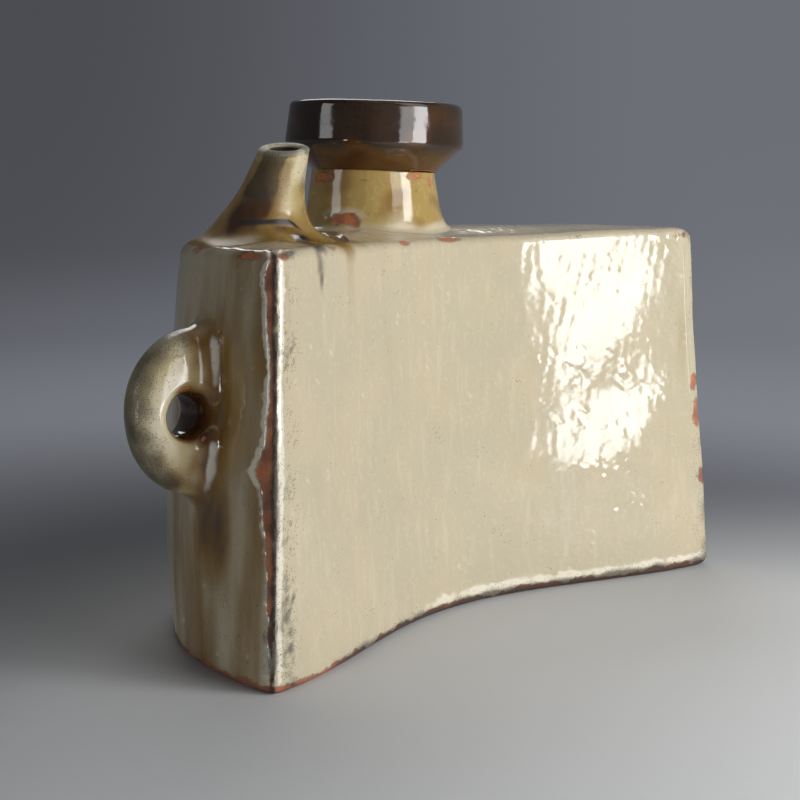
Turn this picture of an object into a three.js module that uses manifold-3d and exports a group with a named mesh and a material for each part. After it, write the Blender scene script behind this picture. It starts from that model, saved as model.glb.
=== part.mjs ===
// A slab-built ceramic hip flask: half-moon plan, dish mouth, pouring spout and two pierced ears for a cord.
// Millimetres, +Z up. The hollow side faces -Y, the spout end is -X, and the flask stands on Z = 0.
import * as THREE from 'three';
import { mergeVertices } from 'three/addons/utils/BufferGeometryUtils.js';
import Module from 'manifold-3d';

// Body plan and lean
const BODY_HEIGHT = 112.4; // table to the shoulder's edge
const FOOT_HALF_LENGTH = 98.3; // middle to a sharp corner, at the foot
const FOOT_DEPTH = 107; // chord between the corners to the front, at the foot
const FRONT_SETBACK = 6.5; // chord to the widest place of the bowed front
const BACK_BOW = 23.5; // how far the back is hollowed
const BACK_BOW_POWER = 1.7; // above 1 the hollow flattens out towards the corners
const END_LEAN = 7; // how much each end leans in over the body's height
const FRONT_LEAN = 5.4;
const BACK_LEAN = 5.1;
const FRONT_BELLY = 3.5; // swell of the front slab at mid height
const BELLY_POWER = 6; // the swell dies out only close to the corners

// Slabs and seams
const WALL = 6;
const BASE_THICKNESS = 7;
const SHOULDER_THICKNESS = 7;
const SHOULDER_CROWN = 2.2; // the flat middle of the shoulder above its edge
const SHOULDER_SLOPE = 16; // width of the slope from the edge to the flat middle
const TOP_ARRIS = 3.5; // rounding of the shoulder's edge
const FOOT_BEVEL = 1.2;
const SEAM_GAP = 0.3; // joint between two pieces of clay
const LIP_SHARE = 0.45; // the most of a wall's thickness that the rounding of its rim may take
const COIL_SIZE = 4; // leg of a coil pressed into a seam
const COIL_COVE = 0.4; // how full the pressed coil is, 0.5 being a flat chamfer

// Neck and dish mouth
const MOUTH_SETBACK = 2.5; // mouth's axis behind the middle of the shoulder
const NECK_HEIGHT = 16.5;
const NECK_FOOT_RADIUS = 21.6;
const NECK_TOP_RADIUS = 19.3;
const NECK_BORE_RADIUS = 13;
const NECK_SKIRT = 2.4; // extra spread of the neck where it meets the shoulder
const NECK_SKIRT_HEIGHT = 2;
const CUP_HEIGHT = 21.4;
const CUP_SHOULDER_HEIGHT = 8; // cup's underside to its sharp shoulder line
const CUP_SHOULDER_RADIUS = 28.4;
const CUP_RIM_RADIUS = 26.8;
const CUP_WALL = 5;
const CUP_FLOOR = 1.8; // thickness at the edge of the bore
const CUP_LIP = 2; // rounding of the rim
const MOUTH_TILT = 2; // degrees that the hand-set cup leans
const MOUTH_TILT_FACING = -45; // degrees from +X, the side where the rim is lowest

// Spout
const SPOUT_INSET = 34.3; // sharp corner at the foot to the spout's axis, along the flask
const SPOUT_HEIGHT = 23.6; // shoulder's flat to the tip
const SPOUT_LEAN_IN = 2.5; // tip's shift towards the mouth
const SPOUT_LEAN_BACK = 7.5; // tip's shift towards the hollow side
const SPOUT_FOOT_RADIUS = 13;
const SPOUT_TIP_RADIUS = 7;
const SPOUT_BORE_RADIUS = 4.2;
const SPOUT_FOOT_BORE_RADIUS = 8.5;
const SPOUT_SKIRT = 6.2; // extra spread of the spout where it meets the shoulder
const SPOUT_SKIRT_HEIGHT = 3;
const SPOUT_TIP_TILT = 12; // degrees that the cut tip faces down
const SPOUT_TIP_FACING = 225; // degrees from +X, the side the cut tip faces
const SPOUT_LIP = 1.2; // rounding of the tip

// Lugs
const LUG_HEIGHT = 69.2; // table to the middle of an ear
const LUG_PLACE = 35; // corner chord to the middle of an ear
const LUG_RADIUS = 22.8;
const LUG_THICKNESS = 16;
const LUG_ROUNDING = 2.6; // 2 is a lens, larger is a flatter disc
const LUG_SKIRT = 2.6; // extra spread of an ear where it is smoothed onto the wall
const LUG_SKIRT_HEIGHT = 2.4;
const LUG_ROOT = 7; // how far an ear's blank reaches into the wall before it is cut to its seat
const LUG_HOLE_RADIUS = 5.8;
const LUG_HOLE_FLARE = 2; // how much the hole opens at the faces
const LUG_HOLE_PLACE = 8.2; // end wall to the hole's axis

// Facets
const BACK_STEPS = 24;
const FRONT_STEPS = 42;
const WALL_ROWS = 8;
const ROUND_STEPS = 48;
const HOLE_STEPS = 28;
const ARC_STEPS = 4;
const EAR_STEPS = 13;
const EAR_POINTS = 32;
const CORNER_PASSES = 12; // steps that close in on the sharp corner, where back and front meet

const wallFoot = BASE_THICKNESS + SEAM_GAP;
const shoulderUnderside = BODY_HEIGHT - SHOULDER_THICKNESS;
const wallTop = shoulderUnderside - SEAM_GAP;
const shoulderFlat = BODY_HEIGHT + SHOULDER_CROWN;
const frontStart = BACK_STEPS; // index of the far corner in a plan

const lerp = THREE.MathUtils.lerp;
const wasm = await Module();
wasm.setup();

/** The body's plan at a height, moved inwards by a distance: along the hollow back, then round the front. */
function planAt(z, distance = 0) {
  const rise = z / BODY_HEIGHT;
  const halfLength = FOOT_HALF_LENGTH - END_LEAN * rise;
  const chordY = BACK_LEAN * rise;
  const centreY = chordY + FRONT_SETBACK;
  const outerReach = FOOT_DEPTH - FRONT_LEAN * rise - centreY;
  const reach = outerReach - distance;
  const half = halfLength / Math.sqrt(1 - (FRONT_SETBACK / outerReach) ** 2) - distance;
  const belly = FRONT_BELLY * Math.sin(Math.PI * rise);
  const backY = (x) => {
    const hollow = Math.max(0, Math.cos((Math.PI / 2) * (x / halfLength)));
    return chordY + distance + BACK_BOW * hollow ** BACK_BOW_POWER;
  };
  let cornerX = halfLength;
  for (let i = 0; i < CORNER_PASSES; i += 1) {
    cornerX = half * Math.sqrt(1 - ((backY(cornerX) - centreY) / reach) ** 2);
  }
  const cornerAngle = Math.asin((backY(cornerX) - centreY) / reach);
  const points = [];
  for (let i = 0; i < BACK_STEPS; i += 1) {
    const x = lerp(-cornerX, cornerX, i / BACK_STEPS);
    points.push(new THREE.Vector2(x, backY(x)));
  }
  for (let i = 0; i < FRONT_STEPS; i += 1) {
    const share = i / FRONT_STEPS;
    const angle = lerp(cornerAngle, Math.PI - cornerAngle, share);
    const swell = belly * (1 - Math.abs(2 * share - 1) ** BELLY_POWER);
    const x = (half + swell) * Math.cos(angle);
    points.push(new THREE.Vector2(x, centreY + (reach + swell) * Math.sin(angle)));
  }
  return points;
}

/** The plan at a height, moved inwards by a distance, as points in space. */
function ring(z, distance = 0) {
  return planAt(z, distance).map((point) => new THREE.Vector3(point.x, point.y, z));
}

/** A geometry from a list of points and a list of triangles. */
function geometryOf(points, triangles) {
  const geometry = new THREE.BufferGeometry();
  geometry.setFromPoints(points);
  geometry.setIndex(triangles.flat());
  return geometry;
}

/** Two triangles on the four-cornered face a, b, c, d. */
function quad(a, b, c, d) {
  return [[a, b, c], [a, c, d]];
}

/** Faces between neighbouring rings of equal count; each ring closes on itself. */
function bands(ringCount, pointCount, closed) {
  const triangles = [];
  const last = closed ? ringCount : ringCount - 1;
  for (let r = 0; r < last; r += 1) {
    const low = r * pointCount;
    const high = ((r + 1) % ringCount) * pointCount;
    for (let i = 0; i < pointCount; i += 1) {
      const next = (i + 1) % pointCount;
      triangles.push(...quad(low + i, low + next, high + next, high + i));
    }
  }
  return triangles;
}

/** A solid between a lowest and a highest ring, with flat ends. */
function stack(rings) {
  const count = rings[0].length;
  const triangles = bands(rings.length, count, false);
  const top = (rings.length - 1) * count;
  const flat = (points) => points.map((point) => new THREE.Vector2(point.x, point.y));
  for (const [a, b, c] of THREE.ShapeUtils.triangulateShape(flat(rings[0]), [])) {
    triangles.push([c, b, a]);
  }
  for (const [a, b, c] of THREE.ShapeUtils.triangulateShape(flat(rings.at(-1)), [])) {
    triangles.push([top + a, top + b, top + c]);
  }
  return geometryOf(rings.flat(), triangles);
}

/** A solid whose rings come back to the first one, such as a hollow spout or a coil. */
function ringLoop(rings) {
  return geometryOf(rings.flat(), bands(rings.length, rings[0].length, true));
}

/** A bent slab between an outer and an inner grid of points, row by row from its foot up. */
function slab(outer, inner) {
  const columns = outer[0].length;
  const rows = outer.length;
  const offset = rows * columns;
  const triangles = [];
  const at = (r, c) => r * columns + c;
  for (let r = 0; r < rows - 1; r += 1) {
    for (let c = 0; c < columns - 1; c += 1) {
      const corners = [at(r, c), at(r, c + 1), at(r + 1, c + 1), at(r + 1, c)];
      triangles.push(...quad(...corners));
      triangles.push(...quad(...corners.map((index) => index + offset).reverse()));
    }
    for (const [c, outwards] of [[0, false], [columns - 1, true]]) {
      const edge = [at(r, c), at(r, c) + offset, at(r + 1, c) + offset, at(r + 1, c)];
      triangles.push(...quad(...(outwards ? edge : edge.reverse())));
    }
  }
  for (let c = 0; c < columns - 1; c += 1) {
    const [low, high] = [at(0, c), at(rows - 1, c)];
    triangles.push(...quad(low, low + offset, low + 1 + offset, low + 1));
    triangles.push(...quad(high, high + 1, high + 1 + offset, high + offset));
  }
  return geometryOf([...outer.flat(), ...inner.flat()], triangles);
}

/** A turned solid: the profile's points are radius and height, and it stands upright on its axis. */
function turned(profile, steps) {
  const geometry = new THREE.LatheGeometry(profile, steps);
  geometry.rotateX(Math.PI / 2);
  return geometry;
}

/** The closed mesh of a geometry as a solid that can be cut. */
function solidOf(geometry) {
  const plain = geometry.clone();
  plain.deleteAttribute('normal');
  plain.deleteAttribute('uv');
  const merged = mergeVertices(plain, 1e-4);
  const corners = merged.index.array;
  const triVerts = [];
  for (let i = 0; i < corners.length; i += 3) {
    const [a, b, c] = corners.subarray(i, i + 3);
    if (a !== b && b !== c && c !== a) triVerts.push(a, b, c);
  }
  const mesh = new wasm.Mesh({
    numProp: 3,
    vertProperties: new Float32Array(merged.attributes.position.array),
    triVerts: new Uint32Array(triVerts),
  });
  return new wasm.Manifold(mesh);
}

/** A solid's surface as a geometry. */
function geometryFrom(solid) {
  const mesh = solid.getMesh();
  const geometry = new THREE.BufferGeometry();
  geometry.setAttribute('position', new THREE.Float32BufferAttribute(mesh.vertProperties, 3));
  geometry.setIndex(Array.from(mesh.triVerts));
  return geometry;
}

/** Points of a rounding in a turned profile, about a centre and from one angle to another in degrees. */
function arc(radius, height, size, from, to) {
  const points = [];
  for (let i = 0; i <= ARC_STEPS; i += 1) {
    const angle = THREE.MathUtils.degToRad(lerp(from, to, i / ARC_STEPS));
    points.push(new THREE.Vector2(radius + size * Math.cos(angle), height + size * Math.sin(angle)));
  }
  return points;
}

// Glazes and clay
const ASH_GLAZE = { color: 0xb8aa8a, roughness: 0.25, metalness: 0 };
const AMBER_GLAZE = { color: 0xa98a52, roughness: 0.22, metalness: 0 };
const IRON_GLAZE = { color: 0x2f1c12, roughness: 0.15, metalness: 0 };
const RED_CLAY = { color: 0x8a4a30, roughness: 0.85, metalness: 0 };

const flask = new THREE.Group();

/** Adds one named piece of clay to the flask. */
function addPiece(name, geometry, finish) {
  const piece = new THREE.Mesh(geometry, new THREE.MeshStandardMaterial(finish));
  piece.name = name;
  flask.add(piece);
}

// Base slab: the plan itself, bevelled where it stands
function baseSlab() {
  return stack([ring(0, FOOT_BEVEL), ring(FOOT_BEVEL), ring(BASE_THICKNESS)]);
}

/** The two ends of a wall's row, drawn back along the wall so that the mitred corner keeps its joint. */
function openMitres(row, partner) {
  const ends = [[0, 1], [row.length - 1, row.length - 2]];
  return ends.map(([end, neighbour]) => {
    const mitre = partner[end].clone().sub(row[end]).normalize();
    const along = row[neighbour].clone().sub(row[end]).normalize();
    const lean = mitre.clone().cross(along).length();
    return along.multiplyScalar(SEAM_GAP / 2 / lean);
  });
}

/** Part of a ring: the points from a first one, over a number of steps. */
function stretch(points, first, steps) {
  return Array.from({ length: steps + 1 }, (_, i) => points[(first + i) % points.length].clone());
}

/** A wall slab: part of the plan from one sharp corner to the other, from the base to the shoulder. */
function wallSlab(first, steps) {
  const outer = [];
  const inner = [];
  for (let r = 0; r <= WALL_ROWS; r += 1) {
    const z = lerp(wallFoot, wallTop, r / WALL_ROWS);
    const outerRow = stretch(ring(z), first, steps);
    const innerRow = stretch(ring(z, WALL), first, steps);
    const [start, end] = openMitres(outerRow, innerRow);
    for (const row of [outerRow, innerRow]) {
      row[0].add(start);
      row.at(-1).add(end);
    }
    outer.push(outerRow);
    inner.push(innerRow);
  }
  return slab(outer, inner);
}

/** The shoulder slab without its holes; a lift makes a copy that clears it all over by that much. */
function shoulderBlank(lift = 0) {
  const rings = [ring(shoulderUnderside, -lift)];
  for (let i = 0; i <= ARC_STEPS; i += 1) {
    const angle = ((Math.PI / 2) * i) / ARC_STEPS;
    const z = BODY_HEIGHT - TOP_ARRIS + TOP_ARRIS * Math.sin(angle);
    rings.push(ring(z, TOP_ARRIS * (1 - Math.cos(angle)) - lift));
  }
  for (let i = 1; i <= ARC_STEPS; i += 1) {
    const share = i / ARC_STEPS;
    const crown = SHOULDER_CROWN * THREE.MathUtils.smoothstep(share, 0, 1);
    rings.push(ring(BODY_HEIGHT + crown, lerp(TOP_ARRIS, TOP_ARRIS + SHOULDER_SLOPE, share) - lift));
  }
  for (const points of rings.slice(1)) {
    points.forEach((point) => point.setZ(point.z + lift));
  }
  return stack(rings);
}

/** Middle of the shoulder between back and front, at a place along the flask. */
function shoulderMiddle(x) {
  const points = planAt(BODY_HEIGHT);
  const crossing = (from, to) => {
    for (let i = from; i < to; i += 1) {
      const a = points[i];
      const b = points[(i + 1) % points.length];
      if ((a.x - x) * (b.x - x) <= 0 && a.x !== b.x) return lerp(a.y, b.y, (x - a.x) / (b.x - a.x));
    }
    throw new Error('the place lies off the shoulder');
  };
  return (crossing(0, frontStart) + crossing(frontStart, points.length)) / 2;
}

const mouth = new THREE.Vector2(0, shoulderMiddle(0) - MOUTH_SETBACK);
const mouthFacing = THREE.MathUtils.degToRad(MOUTH_TILT_FACING);
const spoutPlace = SPOUT_INSET - FOOT_HALF_LENGTH;
const spoutFoot = new THREE.Vector2(spoutPlace, shoulderMiddle(spoutPlace));
const spoutTip = new THREE.Vector2(spoutFoot.x + SPOUT_LEAN_IN, spoutFoot.y - SPOUT_LEAN_BACK);
const seatDepth = SHOULDER_CROWN + TOP_ARRIS; // how far a blank reaches down before it is cut to its seat
const shoulderCutter = solidOf(shoulderBlank(SEAM_GAP));

/** A plain round cutter through the shoulder. */
function shoulderHole(radius, place) {
  const low = shoulderUnderside - SHOULDER_THICKNESS;
  const high = shoulderFlat + SHOULDER_THICKNESS;
  const profile = [[0, low], [radius, low], [radius, high], [0, high]];
  const geometry = turned(profile.map(([r, z]) => new THREE.Vector2(r, z)), HOLE_STEPS);
  return solidOf(geometry.translate(place.x, place.y, 0));
}

// Shoulder slab, pierced under the neck and under the spout
function shoulderSlab() {
  const pierced = solidOf(shoulderBlank())
    .subtract(shoulderHole(NECK_BORE_RADIUS, mouth))
    .subtract(shoulderHole(SPOUT_FOOT_BORE_RADIUS, spoutFoot));
  return geometryFrom(pierced);
}

// Neck: a tapering collar with a spread foot, cut to sit on the crowned shoulder and leaning at its top
function neck() {
  const low = shoulderFlat - seatDepth;
  const top = shoulderFlat + NECK_HEIGHT;
  const profile = [
    new THREE.Vector2(NECK_BORE_RADIUS, low),
    new THREE.Vector2(NECK_FOOT_RADIUS + NECK_SKIRT, low),
  ];
  for (const share of [0, 0.06, 0.14, 0.25, 0.4, 0.65, 1]) {
    const height = share * NECK_HEIGHT;
    const spread = NECK_SKIRT * Math.exp(-height / NECK_SKIRT_HEIGHT);
    const radius = lerp(NECK_FOOT_RADIUS, NECK_TOP_RADIUS, share) + spread;
    profile.push(new THREE.Vector2(radius, shoulderFlat + height));
  }
  profile.push(new THREE.Vector2(NECK_BORE_RADIUS, top), profile[0].clone());
  const collar = turned(profile, ROUND_STEPS);
  const slope = Math.tan(THREE.MathUtils.degToRad(MOUTH_TILT));
  const lowSide = new THREE.Vector2(Math.cos(mouthFacing), Math.sin(mouthFacing));
  const point = new THREE.Vector3();
  const corners = collar.attributes.position;
  for (let i = 0; i < corners.count; i += 1) {
    point.fromBufferAttribute(corners, i);
    const share = Math.max(0, point.z - shoulderFlat) / NECK_HEIGHT;
    corners.setZ(i, point.z - slope * share * (point.x * lowSide.x + point.y * lowSide.y));
  }
  const blank = solidOf(collar.translate(mouth.x, mouth.y, 0));
  return geometryFrom(blank.subtract(shoulderCutter));
}

// Mouth cup: a dish with a sloping underside, a sharp shoulder line and a rounded rim, set on at a lean
function mouthCup() {
  const lip = Math.min(CUP_LIP, LIP_SHARE * CUP_WALL);
  const profile = [
    new THREE.Vector2(NECK_BORE_RADIUS, 0),
    new THREE.Vector2(NECK_TOP_RADIUS, 0),
    new THREE.Vector2(CUP_SHOULDER_RADIUS, CUP_SHOULDER_HEIGHT),
    ...arc(CUP_RIM_RADIUS - lip, CUP_HEIGHT - lip, lip, 0, 90),
    ...arc(CUP_RIM_RADIUS - CUP_WALL + lip, CUP_HEIGHT - lip, lip, 90, 180),
    new THREE.Vector2(CUP_SHOULDER_RADIUS - CUP_WALL, CUP_SHOULDER_HEIGHT + CUP_FLOOR),
    new THREE.Vector2(NECK_BORE_RADIUS, CUP_FLOOR),
    new THREE.Vector2(NECK_BORE_RADIUS, 0),
  ];
  const cup = turned(profile, ROUND_STEPS);
  cup.rotateZ(-mouthFacing).rotateY(THREE.MathUtils.degToRad(MOUTH_TILT)).rotateZ(mouthFacing);
  return cup.translate(mouth.x, mouth.y, shoulderFlat + NECK_HEIGHT + SEAM_GAP);
}

/** One round section of the leaning spout, at a height above the shoulder's flat. */
function spoutRing(height, radius) {
  const share = Math.max(0, height) / SPOUT_HEIGHT;
  const facing = THREE.MathUtils.degToRad(SPOUT_TIP_FACING);
  const slope = Math.tan(THREE.MathUtils.degToRad(SPOUT_TIP_TILT)) * share ** 2;
  const centre = spoutFoot.clone().lerp(spoutTip, share);
  const points = [];
  for (let i = 0; i < HOLE_STEPS; i += 1) {
    const angle = (2 * Math.PI * i) / HOLE_STEPS;
    const drop = radius * Math.cos(angle - facing) * slope;
    const x = centre.x + radius * Math.cos(angle);
    points.push(new THREE.Vector3(x, centre.y + radius * Math.sin(angle), shoulderFlat + height - drop));
  }
  return points;
}

// Spout: a hollow leaning cone with a spread skirt and a tip cut at a slant
function spout() {
  const side = (share) => {
    const height = share * SPOUT_HEIGHT;
    const spread = SPOUT_SKIRT * Math.exp(-height / SPOUT_SKIRT_HEIGHT);
    return spoutRing(height, lerp(SPOUT_FOOT_RADIUS, SPOUT_TIP_RADIUS, share) + spread);
  };
  const bore = (share) => {
    const radius = lerp(SPOUT_FOOT_BORE_RADIUS, SPOUT_BORE_RADIUS, share);
    return spoutRing(share * SPOUT_HEIGHT, radius);
  };
  const lip = Math.min(SPOUT_LIP, LIP_SHARE * (SPOUT_TIP_RADIUS - SPOUT_BORE_RADIUS));
  const belowLip = 1 - lip / SPOUT_HEIGHT;
  const rings = [
    spoutRing(-seatDepth, SPOUT_FOOT_RADIUS + SPOUT_SKIRT),
    ...[0, 0.05, 0.11, 0.18, 0.28, 0.42, 0.6, 0.78, belowLip].map(side),
    spoutRing(SPOUT_HEIGHT, SPOUT_TIP_RADIUS - lip),
    bore(1),
    bore(0.5),
    bore(0),
    spoutRing(-seatDepth, SPOUT_FOOT_BORE_RADIUS),
  ];
  return geometryFrom(solidOf(ringLoop(rings)).subtract(shoulderCutter));
}

/** How far the end wall reaches from the middle, at a distance from the chord and a height. */
function endReach(y, z) {
  const points = planAt(z);
  for (let i = frontStart; i < points.length; i += 1) {
    const [a, b] = [points[i], points[i + 1]];
    if (b.y >= y) return lerp(a.x, b.x, (y - a.y) / (b.y - a.y));
  }
  throw new Error('the lug lies past the front');
}

/** The walls' outside as one solid, grown by the seam's gap, to cut the ears to their seat. */
function bodyCutter() {
  const rings = [];
  for (let r = 0; r <= WALL_ROWS; r += 1) {
    rings.push(ring((BODY_HEIGHT * r) / WALL_ROWS, -SEAM_GAP));
  }
  return solidOf(stack(rings));
}

/** One section of an ear, at a distance out from the end wall: a slice of a rounded disc. */
function earRing(out) {
  const spread = LUG_SKIRT * Math.exp(-Math.max(0, out) / LUG_SKIRT_HEIGHT);
  const tall = Math.sqrt(LUG_RADIUS ** 2 - out ** 2);
  const points = [];
  for (let i = 0; i < EAR_POINTS; i += 1) {
    const angle = (2 * Math.PI * i) / EAR_POINTS;
    const height = tall * Math.cos(angle);
    const radius = Math.hypot(out, height) / LUG_RADIUS;
    const fullness = Math.max(0, 1 - radius ** LUG_ROUNDING) ** (1 / LUG_ROUNDING);
    const across = Math.sign(Math.sin(angle)) * (LUG_THICKNESS / 2) * fullness;
    const sideways = across + spread * Math.sin(angle);
    points.push(new THREE.Vector3(height + spread * Math.cos(angle), sideways, out));
  }
  return points;
}

/** An ear's blank: sections from inside the wall out to its rim, closing in as a rounded disc does. */
function earBlank(reach, side) {
  const start = Math.asin(-LUG_ROOT / LUG_RADIUS);
  const rings = [];
  for (let i = 0; i < EAR_STEPS; i += 1) {
    rings.push(earRing(LUG_RADIUS * Math.sin(lerp(start, Math.PI / 2, i / EAR_STEPS))));
  }
  const standing = stack(rings);
  return solidOf(standing.rotateY((side * Math.PI) / 2).translate(side * reach, LUG_PLACE, LUG_HEIGHT));
}

/** Half section of an ear's hole, narrowest in the middle and open past both faces. */
function holeProfile() {
  const points = [new THREE.Vector2(0, -LUG_THICKNESS)];
  for (const share of [-1, -0.5, -0.25, 0, 0.25, 0.5, 1]) {
    const radius = LUG_HOLE_RADIUS + LUG_HOLE_FLARE * (2 * share) ** 2;
    points.push(new THREE.Vector2(radius, share * LUG_THICKNESS));
  }
  points.push(new THREE.Vector2(0, LUG_THICKNESS));
  return points;
}

// Lug: a thick rounded ear cut to the end wall and pierced for the cord
function lug(side) {
  const reach = endReach(LUG_PLACE, LUG_HEIGHT);
  const cord = new THREE.LatheGeometry(holeProfile(), HOLE_STEPS);
  cord.translate(side * (reach + LUG_HOLE_PLACE), LUG_PLACE, LUG_HEIGHT);
  return geometryFrom(earBlank(reach, side).subtract(solidOf(cord)).subtract(bodyCutter()));
}

/** A coil pressed into the walls' seam with a slab; up is 1 above the base, -1 under the shoulder. */
function levelCoil(seat, up) {
  const near = WALL + SEAM_GAP;
  const cove = COIL_SIZE * COIL_COVE;
  const low = seat + up * SEAM_GAP;
  const section = [[near, 0], [near + COIL_SIZE, 0], [near + cove, cove], [near, COIL_SIZE]];
  const rings = section.map(([distance, height]) => ring(low + up * height, distance));
  return ringLoop(up > 0 ? rings.reverse() : rings);
}

/** An upright coil pressed into a sharp corner of the walls, between the two level coils. */
function cornerCoil(corner) {
  const clear = COIL_SIZE + 2 * SEAM_GAP;
  const rows = [];
  for (let r = 0; r <= WALL_ROWS; r += 1) {
    const z = lerp(BASE_THICKNESS + clear, shoulderUnderside - clear, r / WALL_ROWS);
    const points = ring(z, WALL + SEAM_GAP);
    const at = points[corner];
    const ahead = points[corner + 1].clone().sub(at).setLength(COIL_SIZE);
    const behind = points[(corner + points.length - 1) % points.length].clone().sub(at).setLength(COIL_SIZE);
    const cove = at.clone().addScaledVector(ahead, COIL_COVE).addScaledVector(behind, COIL_COVE);
    rows.push([at, at.clone().add(ahead), cove, at.clone().add(behind)]);
  }
  return stack(rows);
}

addPiece('base_slab', baseSlab(), ASH_GLAZE);
addPiece('back_wall', wallSlab(0, BACK_STEPS), ASH_GLAZE);
addPiece('front_wall', wallSlab(frontStart, FRONT_STEPS), ASH_GLAZE);
addPiece('shoulder_slab', shoulderSlab(), ASH_GLAZE);
addPiece('neck', neck(), AMBER_GLAZE);
addPiece('mouth_cup', mouthCup(), IRON_GLAZE);
addPiece('spout', spout(), ASH_GLAZE);
addPiece('spout_end_lug', lug(-1), AMBER_GLAZE);
addPiece('far_end_lug', lug(1), AMBER_GLAZE);
addPiece('base_seam_coil', levelCoil(BASE_THICKNESS, 1), RED_CLAY);
addPiece('shoulder_seam_coil', levelCoil(shoulderUnderside, -1), RED_CLAY);
addPiece('spout_end_corner_coil', cornerCoil(0), RED_CLAY);
addPiece('far_end_corner_coil', cornerCoil(frontStart), RED_CLAY);

// The origin lies under the middle of the flask's box
const box = new THREE.Box3().setFromObject(flask);
flask.position.y = -(box.min.y + box.max.y) / 2;

export default flask;
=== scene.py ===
# %% [markdown]
# # A slab-built ceramic hip flask
# The flask is stoneware, built from bent slabs and thrown rings and covered with runny glazes. On the real
# flask the seams are smoothed over and the glaze runs across them, so the pieces here are cut out of shared
# surfaces, and their finishes read one shared pattern. All shapes are worked out in millimetres.

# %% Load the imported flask
import math

import bmesh
import bpy
import numpy as np
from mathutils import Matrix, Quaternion, Vector


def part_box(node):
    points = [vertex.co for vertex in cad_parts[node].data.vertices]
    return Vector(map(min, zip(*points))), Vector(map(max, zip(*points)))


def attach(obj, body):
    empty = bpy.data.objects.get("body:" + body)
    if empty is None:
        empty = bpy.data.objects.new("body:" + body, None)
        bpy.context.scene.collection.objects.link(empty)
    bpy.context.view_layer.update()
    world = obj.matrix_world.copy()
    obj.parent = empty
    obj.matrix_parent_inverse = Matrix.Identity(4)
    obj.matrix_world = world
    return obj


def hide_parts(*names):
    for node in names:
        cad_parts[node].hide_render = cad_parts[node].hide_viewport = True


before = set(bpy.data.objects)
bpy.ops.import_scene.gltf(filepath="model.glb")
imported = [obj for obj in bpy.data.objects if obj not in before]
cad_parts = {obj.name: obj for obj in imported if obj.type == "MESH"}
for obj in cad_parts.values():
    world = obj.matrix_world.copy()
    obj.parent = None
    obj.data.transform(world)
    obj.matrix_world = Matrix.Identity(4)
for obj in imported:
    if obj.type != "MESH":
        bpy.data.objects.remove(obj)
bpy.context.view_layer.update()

MM = 0.001

# %% [markdown]
# ## Sizes
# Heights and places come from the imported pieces. The curves of the body's plan can't be read off a box, so
# their few driving sizes are repeated here: a half-moon between a hollow back and a bowed front.


# %% Heights and places from the frame
def box_mm(node):
    """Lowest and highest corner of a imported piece, in millimetres."""
    low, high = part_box(node)
    return np.array(low) / MM, np.array(high) / MM


base_low, base_high = box_mm("base_slab")
wall_low, wall_high = box_mm("back_wall")
shoulder_low, shoulder_high = box_mm("shoulder_slab")
neck_low, neck_high = box_mm("neck")

base_seam = (base_high[2] + wall_low[2]) / 2
shoulder_seam = (wall_high[2] + shoulder_low[2]) / 2
shoulder_flat = shoulder_high[2]
mouth_x = (neck_low[0] + neck_high[0]) / 2
mouth_y = (neck_low[1] + neck_high[1]) / 2
print(f"seams at {base_seam:.2f} and {shoulder_seam:.2f}, mouth at {mouth_x:.2f}, {mouth_y:.2f}")

# %% Driving sizes of the body
BODY_HEIGHT = 112.4
FOOT_HALF_LENGTH = 98.3
FOOT_DEPTH = 107.0
FRONT_SETBACK = 6.5
BACK_BOW = 23.5
BACK_BOW_POWER = 1.7
END_LEAN = 7.0
FRONT_LEAN = 5.4
BACK_LEAN = 5.1
FRONT_BELLY = 3.5
BELLY_POWER = 6
WALL = 6.0
FOOT_BEVEL = 1.2
FOOT_ROUND = 2.6
TOP_ARRIS = 3.5
SHOULDER_SLOPE = 16.0
CORNER_ROUND = 4.4
CORNER_TIP = 1.0
TIP_POWER = 1.5
UPPER_BOW_POWER = 1.25
FULLER_FROM, FULLER_TO = 0.05, 0.55
FAR_RISE = 1.6
RISE_PLACES = (15, 92)
RISE_HEIGHTS = (60, 110)
CORNER_PASSES = 12

shoulder_crown = shoulder_flat - BODY_HEIGHT
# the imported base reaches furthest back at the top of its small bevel, where the wall has begun to lean
chord_y = base_low[1] - BACK_LEAN * FOOT_BEVEL / BODY_HEIGHT
print(f"chord between the sharp corners at y = {chord_y:.2f}")

# %% [markdown]
# ## Helpers for grids
# Every piece is a grid of points: rows in one direction, columns in the other. The faces between them follow
# from counting alone, so they are made with whole arrays.


# %% Faces of a grid
def grid_faces(rows, columns, start=0, closed_columns=False, closed_rows=False):
    """Corner numbers of the four-sided faces between neighbouring rows and columns of points."""
    r = np.arange(rows if closed_rows else rows - 1)[:, None]
    c = np.arange(columns if closed_columns else columns - 1)[None, :]
    low, high = r * columns, (r + 1) % rows * columns
    beside = (c + 1) % columns
    corners = np.stack(np.broadcast_arrays(low + c, low + beside, high + beside, high + c), -1)
    return start + corners.reshape(-1, 4)


# %% A piece from points and faces
SHARP = math.radians(50)
MERGE = 2e-7
FIELDS = ("bare", "amber", "pool", "soot_and_shade", "cream_and_highlight", "dry")


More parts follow.
